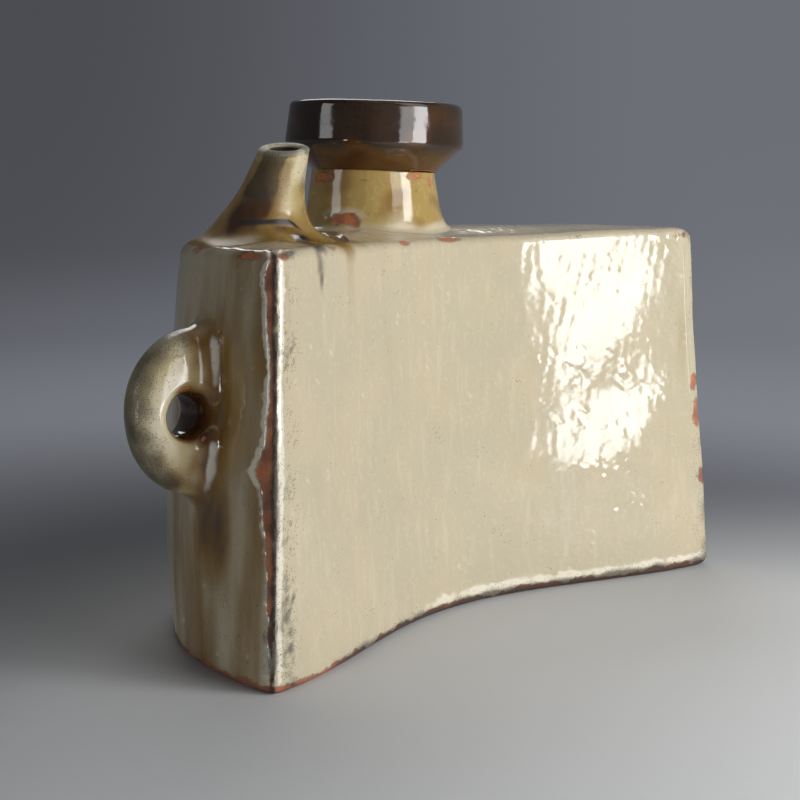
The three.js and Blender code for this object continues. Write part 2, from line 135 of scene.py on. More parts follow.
def make_piece(name, points, faces, fields, rims=()):
    """A mesh object at the origin: points in millimetres, four-sided faces, and rims with more corners."""
    corners = np.concatenate([np.ravel(faces), *[np.asarray(rim) for rim in rims]]).astype(np.int32)
    counts = np.array([4] * len(faces) + [len(rim) for rim in rims])
    mesh = bpy.data.meshes.new(name)
    mesh.vertices.add(len(points))
    mesh.vertices.foreach_set("co", (points * MM).astype(np.float32).ravel())
    mesh.loops.add(len(corners))
    mesh.loops.foreach_set("vertex_index", corners)
    mesh.polygons.add(len(counts))
    mesh.polygons.foreach_set("loop_start", (np.cumsum(counts) - counts).astype(np.int32))
    mesh.update(calc_edges=True)
    for field in FIELDS:
        attribute = mesh.attributes.new(field, "FLOAT", "POINT")
        attribute.data.foreach_set("value", np.asarray(fields[field], np.float32).ravel())
    shell = bmesh.new()
    shell.from_mesh(mesh)
    bmesh.ops.remove_doubles(shell, verts=shell.verts, dist=MERGE)
    bmesh.ops.dissolve_degenerate(shell, edges=shell.edges, dist=MERGE)
    open_edges = sum(1 for edge in shell.edges if not edge.is_manifold)
    if shell.calc_volume(signed=True) < 0:
        bmesh.ops.reverse_faces(shell, faces=shell.faces)
    shell.to_mesh(mesh)
    shell.free()
    mesh.polygons.foreach_set("use_smooth", np.ones(len(mesh.polygons), bool))
    mesh.set_sharp_from_angle(angle=SHARP)
    piece = bpy.data.objects.new(name, mesh)
    bpy.context.scene.collection.objects.link(piece)
    print(f"{name}: {len(mesh.vertices)} points, {len(mesh.polygons)} faces, {open_edges} open edges")
    return piece


# %% [markdown]
# ## Hand and kiln
# No hand-built surface is true. Fingers and paddle leave slow swells, and melted glaze settles in small
# ripples that break up every reflection. Both are sums of sine waves with random directions, from a fixed
# seed.


# %% Waves
def waves(points, seed, count, shortest, longest, upright=1.0):
    """Sum of sine waves over space, of about unit size and from shortest to longest in millimetres.

    An upright below 1 stretches the waves along the height.
    """
    draw = np.random.default_rng(seed)
    lengths = np.exp(draw.uniform(math.log(shortest), math.log(longest), count))
    heading = draw.normal(size=(count, 3))
    heading /= np.linalg.norm(heading, axis=1, keepdims=True)
    heading[:, 2] *= upright
    phase = draw.uniform(0, 2 * math.pi, count)
    turns = points @ (2 * math.pi * heading / lengths[:, None]).T + phase
    return np.sin(turns).sum(-1) / math.sqrt(count / 2)


def smooth(value, low=0.0, high=1.0):
    """Goes from 0 to 1 between low and high with soft ends."""
    share = np.clip((value - low) / (high - low), 0, 1)
    return share * share * (3 - 2 * share)


def bell(value, middle, width):
    """A soft bump: 1 at its middle and a half one width away."""
    return np.exp2(-(((value - middle) / width) ** 2))


SWELL = 0.16
RIPPLE = 0.017
DRAWN_IN = 0.3


def unevenness(points):
    """How far the fired surface lies from the true form: slow swells and short ripples, never outside it."""
    swell = SWELL * waves(points, 11, 14, 26, 60)
    ripple = RIPPLE * waves(points, 12, 60, 3, 11, upright=0.6)
    return np.minimum(swell + ripple - DRAWN_IN, 0)


# %% [markdown]
# ## The outside of the body
# The outside of base, walls and shoulder edge is one skin: the plan's outline carried up a profile of rounded
# foot, leaning wall and rounded top edge. Cutting the pieces out of one skin keeps the surface unbroken where
# the potter smoothed the seams away.

# %% Columns round the plan
BACK_COLUMNS = 320
FRONT_COLUMNS = 440
FAN_COLUMNS = 14
CROWDING = 0.45


def crowded(count):
    """Shares from 0 to 1 that lie closer together at both ends, where the worn corners are."""
    even = np.linspace(0, 1, count + 1)
    return (even - CROWDING * np.sin(2 * np.pi * even) / (2 * np.pi))[None, :]


back_share = crowded(BACK_COLUMNS)
front_share = crowded(FRONT_COLUMNS)
fan_share = np.linspace(0, 1, FAN_COLUMNS + 1)[None, 1:-1]
far_corner = BACK_COLUMNS + FAN_COLUMNS // 2
near_corner = BACK_COLUMNS + FRONT_COLUMNS + FAN_COLUMNS + 1 + FAN_COLUMNS // 2
COLUMNS = BACK_COLUMNS + FRONT_COLUMNS + 2 * FAN_COLUMNS
print(f"{COLUMNS} columns, corners at {near_corner} and {far_corner}")


# %% The outline at a height
def outward(line):
    """Unit normals of a line of plan points that runs anticlockwise, one line in each row."""
    along = np.gradient(line, axis=1)
    normal = np.stack([along[..., 1], -along[..., 0]], -1)
    return normal / np.linalg.norm(normal, axis=-1, keepdims=True)


def fan(corner, first, last):
    """Points of a worn corner: its radius swings from one side's normal to the other's, with a raised tip."""
    start = np.arctan2(first[:, 1], first[:, 0])[:, None]
    sweep = (np.arctan2(last[:, 1], last[:, 0])[:, None] - start) % (2 * np.pi)
    angle = start + sweep * fan_share
    middle = start + sweep / 2
    tip = CORNER_TIP * (1 - np.abs(2 * fan_share - 1)) ** TIP_POWER
    swung = CORNER_ROUND * np.stack([np.cos(angle), np.sin(angle)], -1)
    return corner[:, None] + swung + tip[..., None] * np.stack([np.cos(middle), np.sin(middle)], -1)


def back_line(x, rise):
    """The hollow back: bow times a power of the cosine over a quarter turn from the middle to a corner.

    The power is lower in the upper half, where the slab was pressed fuller towards the corners.
    """
    hollow = np.clip(np.cos(np.pi / 2 * x / (FOOT_HALF_LENGTH - END_LEAN * rise)), 1e-6, None)
    power = BACK_BOW_POWER + (UPPER_BOW_POWER - BACK_BOW_POWER) * smooth(rise, FULLER_FROM, FULLER_TO)
    return BACK_LEAN * rise + BACK_BOW * hollow**power


def front_ellipse(rise):
    """Half length, depth and centre of the ellipse that the bowed front follows."""
    centre = BACK_LEAN * rise + FRONT_SETBACK
    reach = FOOT_DEPTH - FRONT_LEAN * rise - centre
    half = (FOOT_HALF_LENGTH - END_LEAN * rise) / np.sqrt(1 - (FRONT_SETBACK / reach) ** 2)
    return half, reach, centre


def outline(z, inset):
    """Plan points at heights z, drawn in by inset, one row each: back, far corner, front, near corner.

    Both sides are drawn in by the corner's radius and pushed out again along their normals, so that a corner,
    where the normal swings round, comes out round.
    """
    rise = np.asarray(z, float)[:, None] / BODY_HEIGHT
    inner = np.asarray(inset, float)[:, None] + CORNER_ROUND
    half, reach, centre = front_ellipse(rise)
    half, reach = half - inner, reach - inner
    corner = FOOT_HALF_LENGTH - END_LEAN * rise
    for _ in range(CORNER_PASSES):
        corner = half * np.sqrt(1 - ((back_line(corner, rise) + inner - centre) / reach) ** 2)
    turn = np.arcsin((back_line(corner, rise) + inner - centre) / reach)
    back_x = corner * (2 * back_share - 1)
    back = np.stack([back_x, back_line(back_x, rise) + inner], -1)
    angle = turn + (np.pi - 2 * turn) * front_share
    swell = FRONT_BELLY * np.sin(np.pi * rise) * (1 - np.abs(2 * front_share - 1) ** BELLY_POWER)
    front = np.stack([(half + swell) * np.cos(angle), centre + (reach + swell) * np.sin(angle)], -1)
    back_normal, front_normal = outward(back), outward(front)
    far = fan(back[:, -1], back_normal[:, -1], front_normal[:, 0])
    near = fan(front[:, -1], front_normal[:, -1], back_normal[:, 0])
    back, front = back + CORNER_ROUND * back_normal, front + CORNER_ROUND * front_normal
    points = np.concatenate([back, far, front, near], 1)
    points[..., 1] += chord_y
    return points


# %% The profile and the skin
BEVEL_ROWS = 9
BASE_ROWS = 9
WALL_ROWS = 150
EDGE_ROWS = 6
ARRIS_ROWS = 11

bevel = np.linspace(0, np.pi / 2, BEVEL_ROWS)
arris = np.linspace(0, np.pi / 2, ARRIS_ROWS)
row_z = np.concatenate([
    FOOT_ROUND * (1 - np.cos(bevel)),
    np.linspace(FOOT_ROUND, base_seam, BASE_ROWS)[1:],
    np.linspace(base_seam, shoulder_seam, WALL_ROWS)[1:],
    np.linspace(shoulder_seam, BODY_HEIGHT - TOP_ARRIS, EDGE_ROWS)[1:],
    BODY_HEIGHT - TOP_ARRIS + TOP_ARRIS * np.sin(arris)[1:],
])
row_inset = np.zeros_like(row_z)
row_inset[:BEVEL_ROWS] = FOOT_ROUND * (1 - np.sin(bevel))
row_inset[-ARRIS_ROWS:] = TOP_ARRIS * (1 - np.cos(arris))
base_row = BEVEL_ROWS + BASE_ROWS - 2
shoulder_row = base_row + WALL_ROWS - 1


def far_rise(x):
    """How much higher the hand-cut top lies towards the far end."""
    return FAR_RISE * smooth(x, *RISE_PLACES)


plan = outline(row_z, row_inset)
row_lift = smooth(row_z, *RISE_HEIGHTS)[:, None]
heights = row_z[:, None] + far_rise(plan[..., 0]) * row_lift
true_skin = np.concatenate([plan, heights[..., None]], -1)
print(f"skin of {true_skin.shape[0]} rows and {true_skin.shape[1]} columns")


# %% Normals and distances along the skin
def grid_normals(points):
    """Unit normals of a grid whose columns close on themselves: column step crossed with row step."""
    along = np.roll(points, -1, 1) - np.roll(points, 1, 1)
    up = np.gradient(points, axis=0)
    normal = np.cross(along, up)
    return normal / np.linalg.norm(normal, axis=-1, keepdims=True)


skin_normals = grid_normals(true_skin)
steps = np.linalg.norm(np.roll(plan, -1, 1) - plan, axis=-1)
walked = np.cumsum(steps, 1) - steps
girth = steps.sum(1, keepdims=True)


def distance_from(column):
    """Signed distance along the outline from a corner's column, shorter way round."""
    apart = walked - walked[:, column:column + 1]
    return (apart + girth / 2) % girth - girth / 2


from_near = distance_from(near_corner)
from_far = distance_from(far_corner)
print(f"girth at the foot {girth[0, 0]:.0f} mm, at the shoulder {girth[-1, 0]:.0f} mm")

# %% [markdown]
# ## Where the glaze changes
# The finish is told by six fields on the points: bare clay where the glaze drew back, amber where it is thin
# over iron, blue-grey pools of glaze, sooty specks, thick cream, and dry, satin glaze. Some of it is painted
# light:
# soot and amber darken the spout's bore and soot the foot as painted shade, less amber paints a lit side on
# the spout and paler tops on the ends, and cream paints highlights on the near corner, the spout and the
# ears' roots.
# Each is made of soft spots and bands at listed places, with a wavy edge. The same fields also shape the
# surface, because thick glaze stands proud of bare clay.

# %% Spots
SPOUT_FOOT = np.array([-64.0, -10.54])


def spot(points, centre, size):
    """A soft spot: 1 in the middle, a half at its edge, falling off as a bell."""
    apart = (points - np.array(centre)) / np.array(size)
    return np.exp2(-(apart**2).sum(-1))


def spots(points, rows):
    """The strongest of several spots, each given as x, y and z of its centre and its size along each axis."""
    return np.max([spot(points, row[:3], row[3:]) for row in rows], axis=0)


TOP_WEAR = [
    (-84.0, -12.0, 111.4, 2.2, 6.0, 1.3), (-90.9, -37.6, 110.6, 1.6, 4.6, 1.1),
    (-87.6, -48.2, 110.9, 2.4, 1.6, 1.1), (-61.9, -40.2, 112.0, 2.4, 1.8, 1.2),
    (-21.6, -26.9, 111.6, 2.0, 1.6, 0.8), (-0.8, -23.8, 111.9, 4.4, 1.6, 0.9),
    (46.0, -36.0, 111.6, 3.0, 1.8, 0.9), (86.0, -46.0, 111.0, 3.4, 2.2, 1.2),
    (88.0, -24.0, 111.4, 1.8, 5.0, 1.0), (70.0, 16.0, 111.6, 3.6, 4.4, 0.9),
    (34.0, 43.0, 111.4, 6.0, 2.2, 1.0), (-22.0, 46.4, 111.6, 7.0, 2.0, 0.9),
    (-66.0, 20.0, 111.5, 3.0, 4.0, 1.0),
]
FAR_WEAR = [
    (91.6, -51.2, 62.6, 2.0, 2.0, 2.6), (92.8, -51.6, 51.8, 2.1, 2.0, 4.4),
    (94.6, -52.6, 30.9, 1.8, 1.8, 2.4),
]
STRIP_HEIGHTS = (0, 8, 18, 30, 42, 50, 57, 62, 70, 76, 82, 88, 96, 106, 110)
STRIP_WIDTHS = (1.0, 0.7, 1.2, 1.5, 2.2, 3.4, 5.4, 3.6, 2.6, 1.8, 0.9, 1.4, 2.2, 2.2, 0.4)
STRIP_RIGHT = -1.4
STRIP_FRAY = 0.35
STRIP_SOFT = 2.4
FOOT_LINE = 1.9
FOOT_FRAY = 0.45
FOOT_SOFT = 2.0


def strip_shape(points):
    """Width and middle of the bare strip beside the near corner; its right edge is nearly straight."""
    width = np.interp(points[..., 2], STRIP_HEIGHTS, STRIP_WIDTHS)
    width = width + STRIP_FRAY * waves(points, 21, 12, 5, 20)
    return width, STRIP_RIGHT - width / 2


def bare_field(points, near):
    """Bare clay: worn spots on the edges, a strip beside the near corner, and the wiped foot."""
    z = points[..., 2]
    width, middle = strip_shape(points)
    strip = 0.5 + (width / 2 - np.abs(near - middle)) / STRIP_SOFT
    foot = 0.5 + (FOOT_LINE + FOOT_FRAY * waves(points, 22, 20, 4, 30) - z) / FOOT_SOFT
    worn = spots(points, TOP_WEAR + FAR_WEAR)
    rough = 0.1 * waves(points, 23, 40, 1.2, 5)
    return np.clip(np.maximum.reduce([strip, foot, worn]) + rough, 0, 1)


# %% Amber, pools, soot and cream
def around(points, centre):
    """Distance in plan from an upright axis."""
    return np.linalg.norm(points[..., :2] - centre, axis=-1)


EAR_STAINS = [
    (-97, -25.0, 67, 16, 12, 28), (-97, -27.0, 40, 14, 11, 20),
    (97, -25.0, 67, 16, 12, 28), (97, -27.0, 40, 14, 9, 18),
]
PALE_STAINS = [(-95, -20.0, 100, 12, 12, 16), (95, -19.0, 100, 12, 11, 15), (-97, -40.0, 66, 8, 7, 24)]
DRIPS = [
    (-66.0, -30.0, 113.8, 3.2, 4.0, 1.8), (-67.5, -36.5, 113.0, 3.2, 5.0, 1.8),
    (-69.4, -42.0, 112.0, 3.0, 3.6, 2.4), (-70.3, -45.2, 108.5, 2.6, 3.4, 4.6),
    (-70.2, -45.4, 104.0, 1.5, 3.0, 4.6),
]
EAR_RUNS = [(-97.0, -28.0, 39.0, 20, 7.0, 9.0), (97.0, -26.0, 34.0, 20, 4.0, 9.0)]


def amber_field(points):
    """Thin iron-stained glaze: round the ears, up the ends and round the spout."""
    x, y, z = points[..., 0], points[..., 1], points[..., 2]
    # On the ends the amber thins out towards the top: a paler top that is painted light from above.
    ends = (0.48 - 0.18 * smooth(z, 78, 104)) * smooth(np.abs(x), 82, 90)
    ends = ends * smooth(y, -51, -47)
    stain = np.maximum(0.9 * spots(points, EAR_STAINS), 0.3 * spots(points, PALE_STAINS))
    skirt = 0.58 * (1 - smooth(around(points, SPOUT_FOOT), 21, 35)) * smooth(z, 106, 112)
    cloud = 0.09 * waves(points, 31, 24, 8, 40, upright=0.3)
    return np.clip(np.maximum.reduce([ends, stain, skirt]) + cloud, 0, 1)


def pool_field(points):
    """Thick blue-grey glaze that ran from the spout's foot over the edge in a drip, and under the ears."""
    runs = np.maximum(0.95 * spots(points, DRIPS), 0.5 * spots(points, EAR_RUNS))
    return np.clip(runs + 0.08 * waves(points, 32, 20, 3, 12), 0, 1)


def soot_and_foot_shade_field(points, near, far):
    """Fine dark specks: beside both upright corners, along the foot and top edge, on the ends' lower half.
    Along the foot it is also painted shade, strong enough to darken the glaze and the bare clay.
    """
    x, z = points[..., 0], points[..., 2]
    beside = 0.55 * bell(near, 4.4, 3.6) + 1.4 * bell(near, -1.2, 0.8)
    singed = (0.3 + 0.2 * waves(points, 36, 24, 4, 18)) * bell(near, -3.4, 2.2)
    beside = beside * (1 + 0.3 * waves(points, 37, 40, 1.6, 5)) + singed + 0.4 * bell(far, 0, 3.5)
    # Painted shade along the foot: a strong band at the bottom edge that tints glaze and clay dark, as well
    # as soot.
    foot = 1.7 * bell(z, 0, 2.7) * (0.2 + 0.8 * smooth(x, -84, -50))
    ends = 0.25 * smooth(np.abs(x), 84, 93) * smooth(60 - z, 0, 50)
    edge = 0.4 * bell(z, 111.6, 0.9) * smooth(waves(points, 35, 12, 10, 50), -0.2, 1)
    return np.clip(beside + foot + ends + edge - 0.2 + 0.14 * waves(points, 33, 24, 5, 30), 0, 1)


def cream_and_highlight_field(points, near):
    """Pale thick glaze: the rolled edge beside the bare strip and the bead along the foot, and on the near
    corner a pale line of thick glaze that also serves as a painted highlight.
    """
    x, z = points[..., 0], points[..., 2]
    width, middle = strip_shape(points)
    roll = 1.1 * bell(near - middle + width / 2, -0.9, 0.9) * (0.35 + 0.65 * smooth(z, 44, 60))
    bead = bell(z, 3.8, 1.3) * smooth(x, -50, 10) * (near > 0)
    # Painted highlight: a pale band just on the panel side of the near corner, which also stands for thick
    # glaze.
    corner = bell(near, 0.9, 0.75)
    return np.clip(roll + 0.9 * bead + corner + 0.15 * waves(points, 34, 30, 2, 12), 0, 1)


def body_fields(points, near, far):
    """All six fields on points of the body, which is glossy all over."""
    return {
        "bare": bare_field(points, near),
        "amber": amber_field(points),
        "pool": pool_field(points),
        "soot_and_shade": soot_and_foot_shade_field(points, near, far),
        "cream_and_highlight": cream_and_highlight_field(points, near),
        "dry": np.zeros(points.shape[:-1]),
    }


skin_fields = body_fields(true_skin, from_near, from_far)
print({name: round(float(values.mean()), 3) for name, values in skin_fields.items()})

# %% The fired skin
GLAZE_THICKNESS = 0.28
BEAD = 0.22
POOL_LIFT = 0.2


def fired(points, normals, fields):
    """The true form with its unevenness; bare clay lies lower and the edge of thick glaze stands higher."""
    bare = smooth(fields["bare"], 0.4, 0.6)
    thick = BEAD * fields["cream_and_highlight"] * (1 - bare) + POOL_LIFT * fields["pool"]
    lift = np.minimum(unevenness(points) - GLAZE_THICKNESS * bare + thick, 0)
    lift = lift * smooth(points[..., 2], -0.2, 2.5)
    return points + normals * lift[..., None]


skin = fired(true_skin, skin_normals, skin_fields)
print(f"skin moved by up to {np.abs(skin - true_skin).max():.2f} mm")

# %% [markdown]
# ## The two walls
# Each wall is a slab with an outside from the skin and a plainer inside. The bowed front takes both rounded
# corners, so that no joint shows in a curve.

# %% Hollow back and bowed front
INSIDE_ROWS = 9
inside_z = np.linspace(base_seam, shoulder_seam, INSIDE_ROWS)
inside_plan = outline(inside_z, np.full(INSIDE_ROWS, WALL))
inside_heights = np.broadcast_to(inside_z[:, None, None], (*inside_plan.shape[:2], 1))
inside_skin = np.concatenate([inside_plan, inside_heights], -1)


def wall_piece(name, columns):
    """A slab of wall over some columns: outer and inner grid, joined at the foot, the top and both ends."""
    rows = slice(base_row, shoulder_row + 1)
    outer, inner = skin[rows][:, columns], inside_skin[:, columns]
    tall, wide, few = outer.shape[0], outer.shape[1], inner.shape[0]
    first_inner = tall * wide
    last_outer = (tall - 1) * wide
    last_inner = first_inner + (few - 1) * wide
    span = np.arange(wide - 1)
    foot = np.stack([span, first_inner + span, first_inner + span + 1, span + 1], -1)
    top = np.stack([last_outer + span, last_outer + span + 1, last_inner + span + 1, last_inner + span], -1)
    faces = [grid_faces(tall, wide), grid_faces(few, wide, first_inner)[:, ::-1], foot, top]
    up_outer, up_inner = np.arange(tall) * wide, first_inner + np.arange(few) * wide
    start = np.concatenate([up_outer, up_inner[::-1]])
    end = np.concatenate([up_inner, up_outer[::-1]]) + wide - 1
    fields = {
        field: np.concatenate([values[rows][:, columns].ravel(), np.zeros(few * wide)])
        for field, values in skin_fields.items()
    }
    points = np.concatenate([outer.reshape(-1, 3), inner.reshape(-1, 3)])
    return make_piece(name, points, np.concatenate(faces), fields, [start[::-1], end[::-1]])


back_columns = np.arange(BACK_COLUMNS + 1)
front_columns = np.arange(BACK_COLUMNS, COLUMNS + 1) % COLUMNS
hollow_back = wall_piece("hollow_back", back_columns)
bowed_front = wall_piece("bowed_front", front_columns)

# %% [markdown]
# ## The base
# The lowest rows of the skin with a flat underside. The potter wiped the glaze off the foot, so that the
# flask didn't stick to the kiln shelf.

# %% Glazed base
base_rows = slice(0, base_row + 1)
base_ring = np.arange(COLUMNS)
base_points = skin[base_rows].reshape(-1, 3)
base_fields = {field: values[base_rows] for field, values in skin_fields.items()}
base_faces = grid_faces(base_row + 1, COLUMNS, closed_columns=True)
underside_rim = base_ring[::-1]
upper_rim = base_row * COLUMNS + base_ring
glazed_base = make_piece("glazed_base", base_points, base_faces, base_fields, [underside_rim, upper_rim])


# %% [markdown]
# ## The shoulder
# The top slab is crowned: it rises from its rounded edge over a short slope to a flat middle. Its height is a
# function of the distance to the edge. The slab is gridded in two halves, one from the back edge and one from
# the front edge to a line along the middle, and that line swings round the two holes.


# %% Height of the shoulder
RIDGE_SOFT = 2.0


def edge_distances(x, y):
    """Distance from a place on the shoulder to its back edge and to its front edge."""
    half, reach, centre = front_ellipse(1.0)
    mean = (half + reach) / 2
    to_front = mean - np.hypot(x * mean / half, (y - chord_y - centre) * mean / reach)
    return y - chord_y - back_line(x, 1.0), to_front


def shoulder_top(x, y):
    """Height of the crowned shoulder: a soft step of the lesser distance to the back and front edges."""
    to_back, to_front = edge_distances(x, y)
    nearest = -RIDGE_SOFT * np.logaddexp(-to_back / RIDGE_SOFT, -to_front / RIDGE_SOFT)
    left = np.clip(TOP_ARRIS - np.minimum(to_back, to_front), 0, TOP_ARRIS)
    worn = TOP_ARRIS - np.sqrt(TOP_ARRIS**2 - left**2)
    lift = far_rise(x)
    crown = (shoulder_crown - lift) * smooth(nearest, TOP_ARRIS, TOP_ARRIS + SHOULDER_SLOPE)
    return BODY_HEIGHT + lift - worn + crown


# %% Middle line with its holes
NECK_BORE = 13.0
SPOUT_FOOT_BORE = 8.5
edge_ring = skin[-1]
near_tip, far_tip = edge_ring[near_corner], edge_ring[far_corner]
spout_x, spout_y = SPOUT_FOOT
line_x = [near_tip[0], spout_x - SPOUT_FOOT_BORE, spout_x + SPOUT_FOOT_BORE, mouth_x - NECK_BORE,
          mouth_x + NECK_BORE, -spout_x, far_tip[0]]
line_y = [near_tip[1], spout_y, spout_y, mouth_y, mouth_y, spout_y, far_tip[1]]
holes = [(spout_x, spout_y, SPOUT_FOOT_BORE), (mouth_x, mouth_y, NECK_BORE)]


def middle_line(x, side):
    """Points of the middle line for places along the flask, and which of them lie on a hole's edge.

    Inside a hole's span the line follows the half circle on the given side, -1 for the back and 1 for the
    front.
    """
    line = np.stack([x, np.interp(x, line_x, line_y)], -1)
    on_hole = np.zeros(len(x), bool)
    for hole_x, hole_y, radius in holes:
        inside = np.abs(x - hole_x) < radius
        angle = np.pi * (x - hole_x + radius) / (2 * radius)
        circle = np.stack([hole_x - radius * np.cos(angle), hole_y + side * radius * np.sin(angle)], -1)
        line = np.where(inside[:, None], circle, line)
        on_hole |= inside
    return line, on_hole


# %% Crowned shoulder
SHEET_ROWS = 56
FAR_AWAY = 1000.0
edge_rows = slice(shoulder_row, len(row_z))
edge_points = skin[edge_rows].reshape(-1, 3)
shoulder_points = [edge_points]
shoulder_faces = [grid_faces(len(row_z) - shoulder_row, COLUMNS, closed_columns=True)]
shoulder_fields = {field: [values[edge_rows].ravel()] for field, values in skin_fields.items()}
sheet_share = np.linspace(0, 1, SHEET_ROWS)[:, None, None]
up_normal = np.array([0.0, 0.0, 1.0])
halves = [
    (np.arange(near_corner, far_corner + COLUMNS + 1) % COLUMNS, -1),
    (np.arange(far_corner, near_corner + 1), 1),
]
start_at = len(edge_points)
for columns, side in halves:
    edge = edge_ring[columns]
    line, on_hole = middle_line(edge[:, 0], side)
    flat = edge[None, :, :2] * (1 - sheet_share) + line[None] * sheet_share
    sheet = np.concatenate([flat, shoulder_top(flat[..., 0], flat[..., 1])[..., None]], -1)
    no_corner = np.full(sheet.shape[:2], FAR_AWAY)
    sheet_fields = body_fields(sheet, no_corner, no_corner)
    sheet = fired(sheet, up_normal, sheet_fields)
    sheet[0] = edge
    wide = len(columns)
    below = np.concatenate([line, np.full((wide, 1), shoulder_seam)], -1)
    outer_below = skin[shoulder_row][columns]
    shoulder_points += [sheet.reshape(-1, 3), below, outer_below]
    for field, values in sheet_fields.items():
        values[0] = skin_fields[field][-1][columns]
        shoulder_fields[field] += [values.ravel(), np.zeros(wide), skin_fields[field][shoulder_row][columns]]
    under_start = start_at + SHEET_ROWS * wide
    bore = grid_faces(2, wide, under_start - wide)[on_hole[:-1] | on_hole[1:]]
    shoulder_faces += [grid_faces(SHEET_ROWS, wide, start_at), bore, grid_faces(2, wide, under_start)]
    start_at = under_start + 2 * wide

shoulder_fields = {field: np.concatenate(values) for field, values in shoulder_fields.items()}
crowned_shoulder = make_piece(
    "crowned_shoulder", np.concatenate(shoulder_points), np.concatenate(shoulder_faces), shoulder_fields)

# %% [markdown]
# ## Neck and mouth cup
# Both were thrown on a wheel, so each is a profile turned about the mouth's axis. The neck spreads at its
# foot, where it was smoothed onto the shoulder, and its top was cut at a slight lean, so the cup leans with
# it.

# %% Turned profiles
ROUND_COLUMNS = 168
CURVE_POINTS = 9
around_angle = np.linspace(0, 2 * np.pi, ROUND_COLUMNS, endpoint=False)[None, :]


def rounded(corners, cuts, spacing):
    """A profile through corners, each rounded by a curve that starts and ends at its cut, evenly spaced."""
    corners = np.array(corners, float)
    share = np.linspace(0, 1, CURVE_POINTS)[:, None]
    pieces = [corners[:1]]
    for before, corner, after, cut in zip(corners[:-2], corners[1:-1], corners[2:], cuts):
        first = corner + cut * (before - corner) / np.linalg.norm(before - corner)
        last = corner + cut * (after - corner) / np.linalg.norm(after - corner)
        pieces.append((1 - share) ** 2 * first + 2 * share * (1 - share) * corner + share**2 * last)
    line = np.concatenate([*pieces, corners[-1:]])
    length = np.concatenate([[0], np.cumsum(np.linalg.norm(np.diff(line, axis=0), axis=1))])
    places = np.linspace(0, length[-1], int(length[-1] / spacing) + 1)
    return np.stack([np.interp(places, length, line[:, 0]), np.interp(places, length, line[:, 1])], -1)


def cove(height, radius):
    """Extra spread of a foot that is smoothed onto a surface: a quarter circle that ends flat on it."""
    left = radius - np.clip(height, 0, radius)
    return radius - np.sqrt(np.maximum(radius**2 - left**2, 0))


# %% Pieces that close on themselves
def plain_fields(points):
    """Fields with nothing in them, for a piece to fill in."""
    return {field: np.zeros(points.shape[:-1]) for field in FIELDS}


def ring_piece(name, points, fields, facing=1):
    """Fires and makes a grid that closes both ways; facing is -1 where its normals point inwards."""
    surface = fired(points, facing * grid_normals(points), fields)
    faces = grid_faces(*surface.shape[:2], closed_columns=True, closed_rows=True)
    return make_piece(name, surface.reshape(-1, 3), faces, fields)


# %% Amber neck
NECK_FOOT_RADIUS = 21.6
NECK_TOP_RADIUS = 19.3
NECK_SKIRT = 2.4
NECK_SKIRT_HEIGHT = 2.0
NECK_COVE = 1.4
MOUTH_TILT = math.radians(2)
MOUTH_TILT_FACING = math.radians(-45)
NECK_HEIGHT = 16.5
NECK_ROWS = 56
NECK_INTO_CUP = 1.5
NECK_UNDER = (3.0, 2.2)
BORE_ROWS = 14
FOOT_CROWDING = 1.5
UNDER_GLAZE = 0.35
SEAT_HEIGHT = 6

neck_share = np.linspace(0, 1, NECK_ROWS) ** FOOT_CROWDING
neck_rise = neck_share * (NECK_HEIGHT + NECK_INTO_CUP)
neck_radius = NECK_FOOT_RADIUS + (NECK_TOP_RADIUS - NECK_FOOT_RADIUS) * neck_share
neck_radius = neck_radius + NECK_SKIRT * np.exp(-neck_rise / NECK_SKIRT_HEIGHT) + cove(neck_rise, NECK_COVE)
bore_rise = np.linspace(neck_rise[-1], shoulder_seam - shoulder_flat, BORE_ROWS)
neck_profile_r = np.concatenate([neck_radius[:1] - NECK_UNDER[0], neck_radius, np.full(BORE_ROWS, NECK_BORE)])
neck_profile_h = np.concatenate([[-NECK_UNDER[1]], neck_rise, bore_rise])
low_side = np.array([math.cos(MOUTH_TILT_FACING), math.sin(MOUTH_TILT_FACING)])


def seated(x, y, rise):
    """Height of a point that follows the crowned shoulder at its foot and a level plane higher up."""
    dip = shoulder_flat - shoulder_top(x, y)
    return shoulder_flat + rise - (dip + UNDER_GLAZE) * (1 - smooth(rise, 0, SEAT_HEIGHT))


def neck_points():
    """Rows of circles from under the glaze up the outside and down the bore, with the top cut at a lean."""
    r, h = neck_profile_r[:, None], neck_profile_h[:, None]
    x, y = mouth_x + r * np.cos(around_angle), mouth_y + r * np.sin(around_angle)
    lean = math.tan(MOUTH_TILT) * np.clip(h, 0, None) / NECK_HEIGHT
    drop = lean * ((x - mouth_x) * low_side[0] + (y - mouth_y) * low_side[1])
    return np.stack([x, y, seated(x, y, h) - drop], -1)


NECK_WEAR = [
    (-20.5, 1.5, 117.6, 5.0, 5.4, 1.6), (-19.4, 11.0, 130.0, 1.6, 4.0, 1.3),
    (-1.7, -10.8, 130.2, 2.2, 1.0, 0.9), (6.2, -9.9, 128.8, 1.0, 1.0, 1.4),
    (18.6, 14.0, 130.0, 2.0, 5.0, 1.2), (4.0, 28.6, 118.0, 5.0, 3.0, 1.3),
]
NECK_ROLL = [(-20.5, 1.5, 118.6, 7.0, 7.4, 2.6)]
PALE_FOOT = (113.5, 121.5)
true_neck = neck_points()
neck_fields = plain_fields(true_neck)
neck_outside = (np.arange(len(true_neck)) <= NECK_ROWS)[:, None]
neck_worn = spots(true_neck, NECK_WEAR) + 0.13 * waves(true_neck, 41, 30, 1.5, 6)
neck_fields["bare"] = np.clip(neck_worn, 0, 1) * neck_outside
neck_fall = true_neck[..., 2] + waves(true_neck, 43, 12, 8, 30)
neck_pale = 0.75 * (1 - smooth(neck_fall, *PALE_FOOT))
